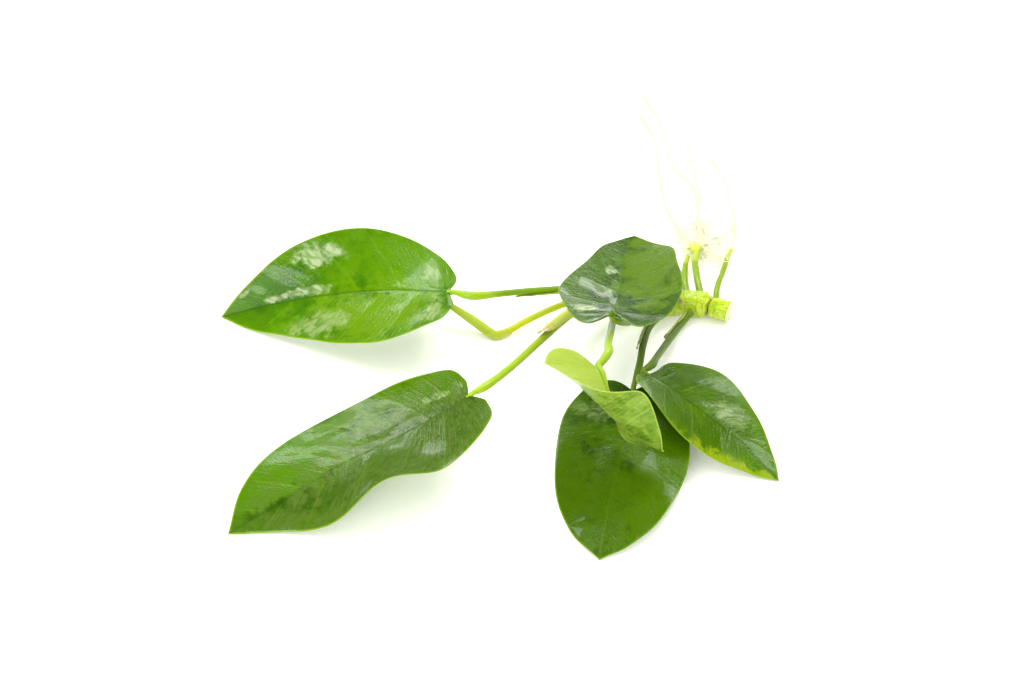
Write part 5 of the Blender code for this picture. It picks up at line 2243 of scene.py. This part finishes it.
ROOTS = (
    RootStrand("root_green_left",
               ((-4.2, 6.8, 2.6), (-4.6, 11, 3.2), (-4.6, 15, 3.2), (-4, 20, 2.6), (-2.9, 25, 2.4)),
               (1.0, 0.95, 0.95, 0.85, 0.6), GREEN_ROOT, "green_root", lead=1.5, wander=0.0006,
               seed=1),
    RootStrand("root_green_centre",
               ((-0.5, 6.4, 3.4), (-1.1, 12.5, 4), (-1.2, 20, 3.5), (-0.3, 25.6, 3.2)),
               (1.0, 1.0, 0.95, 0.95), GREEN_ROOT, "green_root", lead=1.5, wander=0.0005, seed=2),
    RootStrand("root_green_right",
               ((3.9, 5.2, 2.9), (4.8, 10.2, 3), (6.3, 15.8, 2.6), (8, 22.6, 2.1), (9.9, 29, 1.7)),
               (0.95, 0.85, 0.8, 0.7, 0.45), GREEN_ROOT, "green_root", lead=1.5, wander=0.0008,
               seed=3),
    RootStrand("root_long_centre",
               ((0.9, 30.6, 3), (1.2, 40, 2.9), (1.4, 51.6, 2.8), (0.9, 57.1, 2.2),
                (-1.3, 64.4, 1.6),
                (-3.9, 68.9, 1.2), (-5.6, 78.2, 0.9), (-6.4, 87.4, 0.8), (-8.9, 99.6, 0.7),
                (-12.6, 112.6, 0.6)),
               (0.62, 0.55, 0.52, 0.5, 0.5, 0.5, 0.45, 0.42, 0.4, 0.3), PALE_ROOT, "pale_root",
               lead=2.6, seed=4),
    RootStrand("root_long_left",
               ((-3.2, 31.4, 2.8), (-5.2, 37.4, 2.9), (-7.5, 45.8, 2.6), (-8.8, 58.5, 1.6),
                (-9.2, 68.8, 1), (-9.2, 78.2, 0.8), (-10, 84, 0.7), (-11.2, 92, 0.7),
                (-14, 100, 0.6)),
               (0.5, 0.5, 0.48, 0.45, 0.45, 0.42, 0.42, 0.4, 0.3), PALE_ROOT, "pale_root",
               lead=3.4, seed=5),
    RootStrand("root_side_branch",
               ((2.6, 53.4, 2.3), (2.1, 60, 1.6), (1.5, 67.1, 1.1), (1, 74, 0.8), (0.4, 85.4, 0.6)),
               (0.4, 0.4, 0.4, 0.38, 0.3), PALE_ROOT, "pale_root", lead=1.6, seed=6),
    RootStrand("root_long_right",
               ((10.4, 30.4, 1.9), (11.5, 36, 2.4), (12, 44, 2), (11, 54, 1.2), (11.3, 60, 0.9),
                (9.6, 67, 0.8), (7.2, 76.2, 0.6)),
               (0.45, 0.45, 0.45, 0.42, 0.42, 0.4, 0.3), PALE_ROOT, "pale_root", lead=1.8, seed=7),
)

COLLAR_SKIN = StemFinish(name="collar skin", slot="green_root", base=(0.42, 0.50, 0.03),
                         main=(0.50, 0.56, 0.05), tip=(0.42, 0.50, 0.03), streak=(0.62, 0.66, 0.16),
                         fineness=5.0, glow=0.3)
COLLAR = RootStrand("root_collar",
                    ((-2.3, 27.6, 2.6), (-1.4, 28.9, 2.9), (-0.6, 26.6, 2.8), (0.3, 29.2, 2.8),
                     (1.0, 27.4, 2.5)),
                    (0.75, 1.05, 1.2, 1.05, 0.6), COLLAR_SKIN, "green_root", hair_gap=0.0004,
                    hair_length=0.0018, wander=0.0006, seed=8)

ROOT_CLOUD = RootCloud(name="root_mat", finish=THREAD_ROOT,
                       starts=((-1.0, 27.6, 2.4), (0.8, 28.6, 2.4), (8.0, 22.6, 1.9),
                               (9.9, 29.0, 1.6),
                               (1.2, 40.0, 2.6), (-5.2, 37.4, 2.6), (11.8, 40.0, 2.0)))

RHIZOME = Rhizome(
    name="rhizome",
    axis=((-18.4, 1.7, 3.5), (-13.6, 1.8, 3.35), (-9, 2.3, 3.3), (-5, 2.4, 3.25), (-1, 1.9, 3.2),
          (1.1, 1.4, 3.15), (2.2, 0.9, 3.15), (3.4, 0.2, 3.15), (7, -1.6, 3.2)),
    shares=(0.72, 0.94, 1.0, 0.97, 1.0, 0.86, 0.72, 0.84, 0.84),
    finish=RhizomeFinish(name="rhizome skin", slot="rhizome", skin=(0.34, 0.48, 0.004),
                         bright=(0.52, 0.64, 0.014), scar=(0.22, 0.30, 0.008),
                         waist=(0.07, 0.045, 0.006), cut=(0.26, 0.37, 0.002)),
    fibre=FibreFinish(name="old fibre", slot="rhizome", first=(0.20, 0.10, 0.02),
                      second=(0.42, 0.30, 0.09)))

YOUNG_LEAF = YoungLeaf(
    name="young_leaf",
    route=((-54.2, -7.7, 1.6), (-57.6, -9.5, 1.45), (-59.6, -9.1, 1.75), (-62.6, -6.8, 2.6),
           (-65.8, -4.8, 3.8), (-69.6, -2.6, 5.2), (-73.5, -0.2, 6.4)),
    girth=(1.1, 1.35, 1.42, 1.45, 1.35, 1.05, 0.35),
    finish=SheathFinish(name="furled leaf", slot="young", base=(0.44, 0.48, 0.006),
                        main=(0.34, 0.44, 0.006), tip=(0.22, 0.34, 0.004), line=(0.48, 0.56, 0.02)))

SCRAP = DryScrap(
    name="dry_scrap", middle=(-8.4, -1.4, 6.6), size=(2.2, 0.9), heading=20.0,
    finish=SheathFinish(name="dry scrap", slot="rhizome", base=(0.20, 0.11, 0.03),
                        main=(0.34, 0.22, 0.07),
                        tip=(0.46, 0.34, 0.14), line=(0.14, 0.07, 0.02)))

ROOT_HAIR = FibreFinish(name="root hair", slot="pale_root", first=(0.86, 0.88, 0.60),
                        second=(0.96, 0.95, 0.84))


def build_plant() -> None:
    """Build every piece of the plant and let it stand for its CAD nodes."""
    for blade in BLADES.values():
        settle(blade.build(), blade.finish.slot, blade.name)
    for stalk in STALKS.values():
        settle(stalk.build(), stalk.finish.slot, stalk.name)
    for sheath in SHEATHS:
        settle(sheath.build(), sheath.finish.slot, sheath.name)
    hair = ROOT_HAIR.material()
    for root in (*ROOTS, COLLAR):
        skin, hairs = root.build(hair)
        settle(skin, root.slot, root.name)
        settle(hairs, root.slot)
    settle(ROOT_CLOUD.build(), ROOT_CLOUD.finish.slot, ROOT_CLOUD.name)
    stem, fibres = RHIZOME.build()
    settle(stem, RHIZOME.finish.slot, RHIZOME.name)
    settle(fibres, RHIZOME.fibre.slot)
    settle(YOUNG_LEAF.build(), YOUNG_LEAF.finish.slot, YOUNG_LEAF.name)
    settle(SCRAP.build(), SCRAP.finish.slot)


def main() -> None:
    """Build the plant and the room."""
    logging.basicConfig(level=logging.INFO)
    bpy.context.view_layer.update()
    build_plant()
    Studio(lights=LIGHTS).build()
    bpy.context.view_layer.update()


if __name__ == "__main__":
    main()
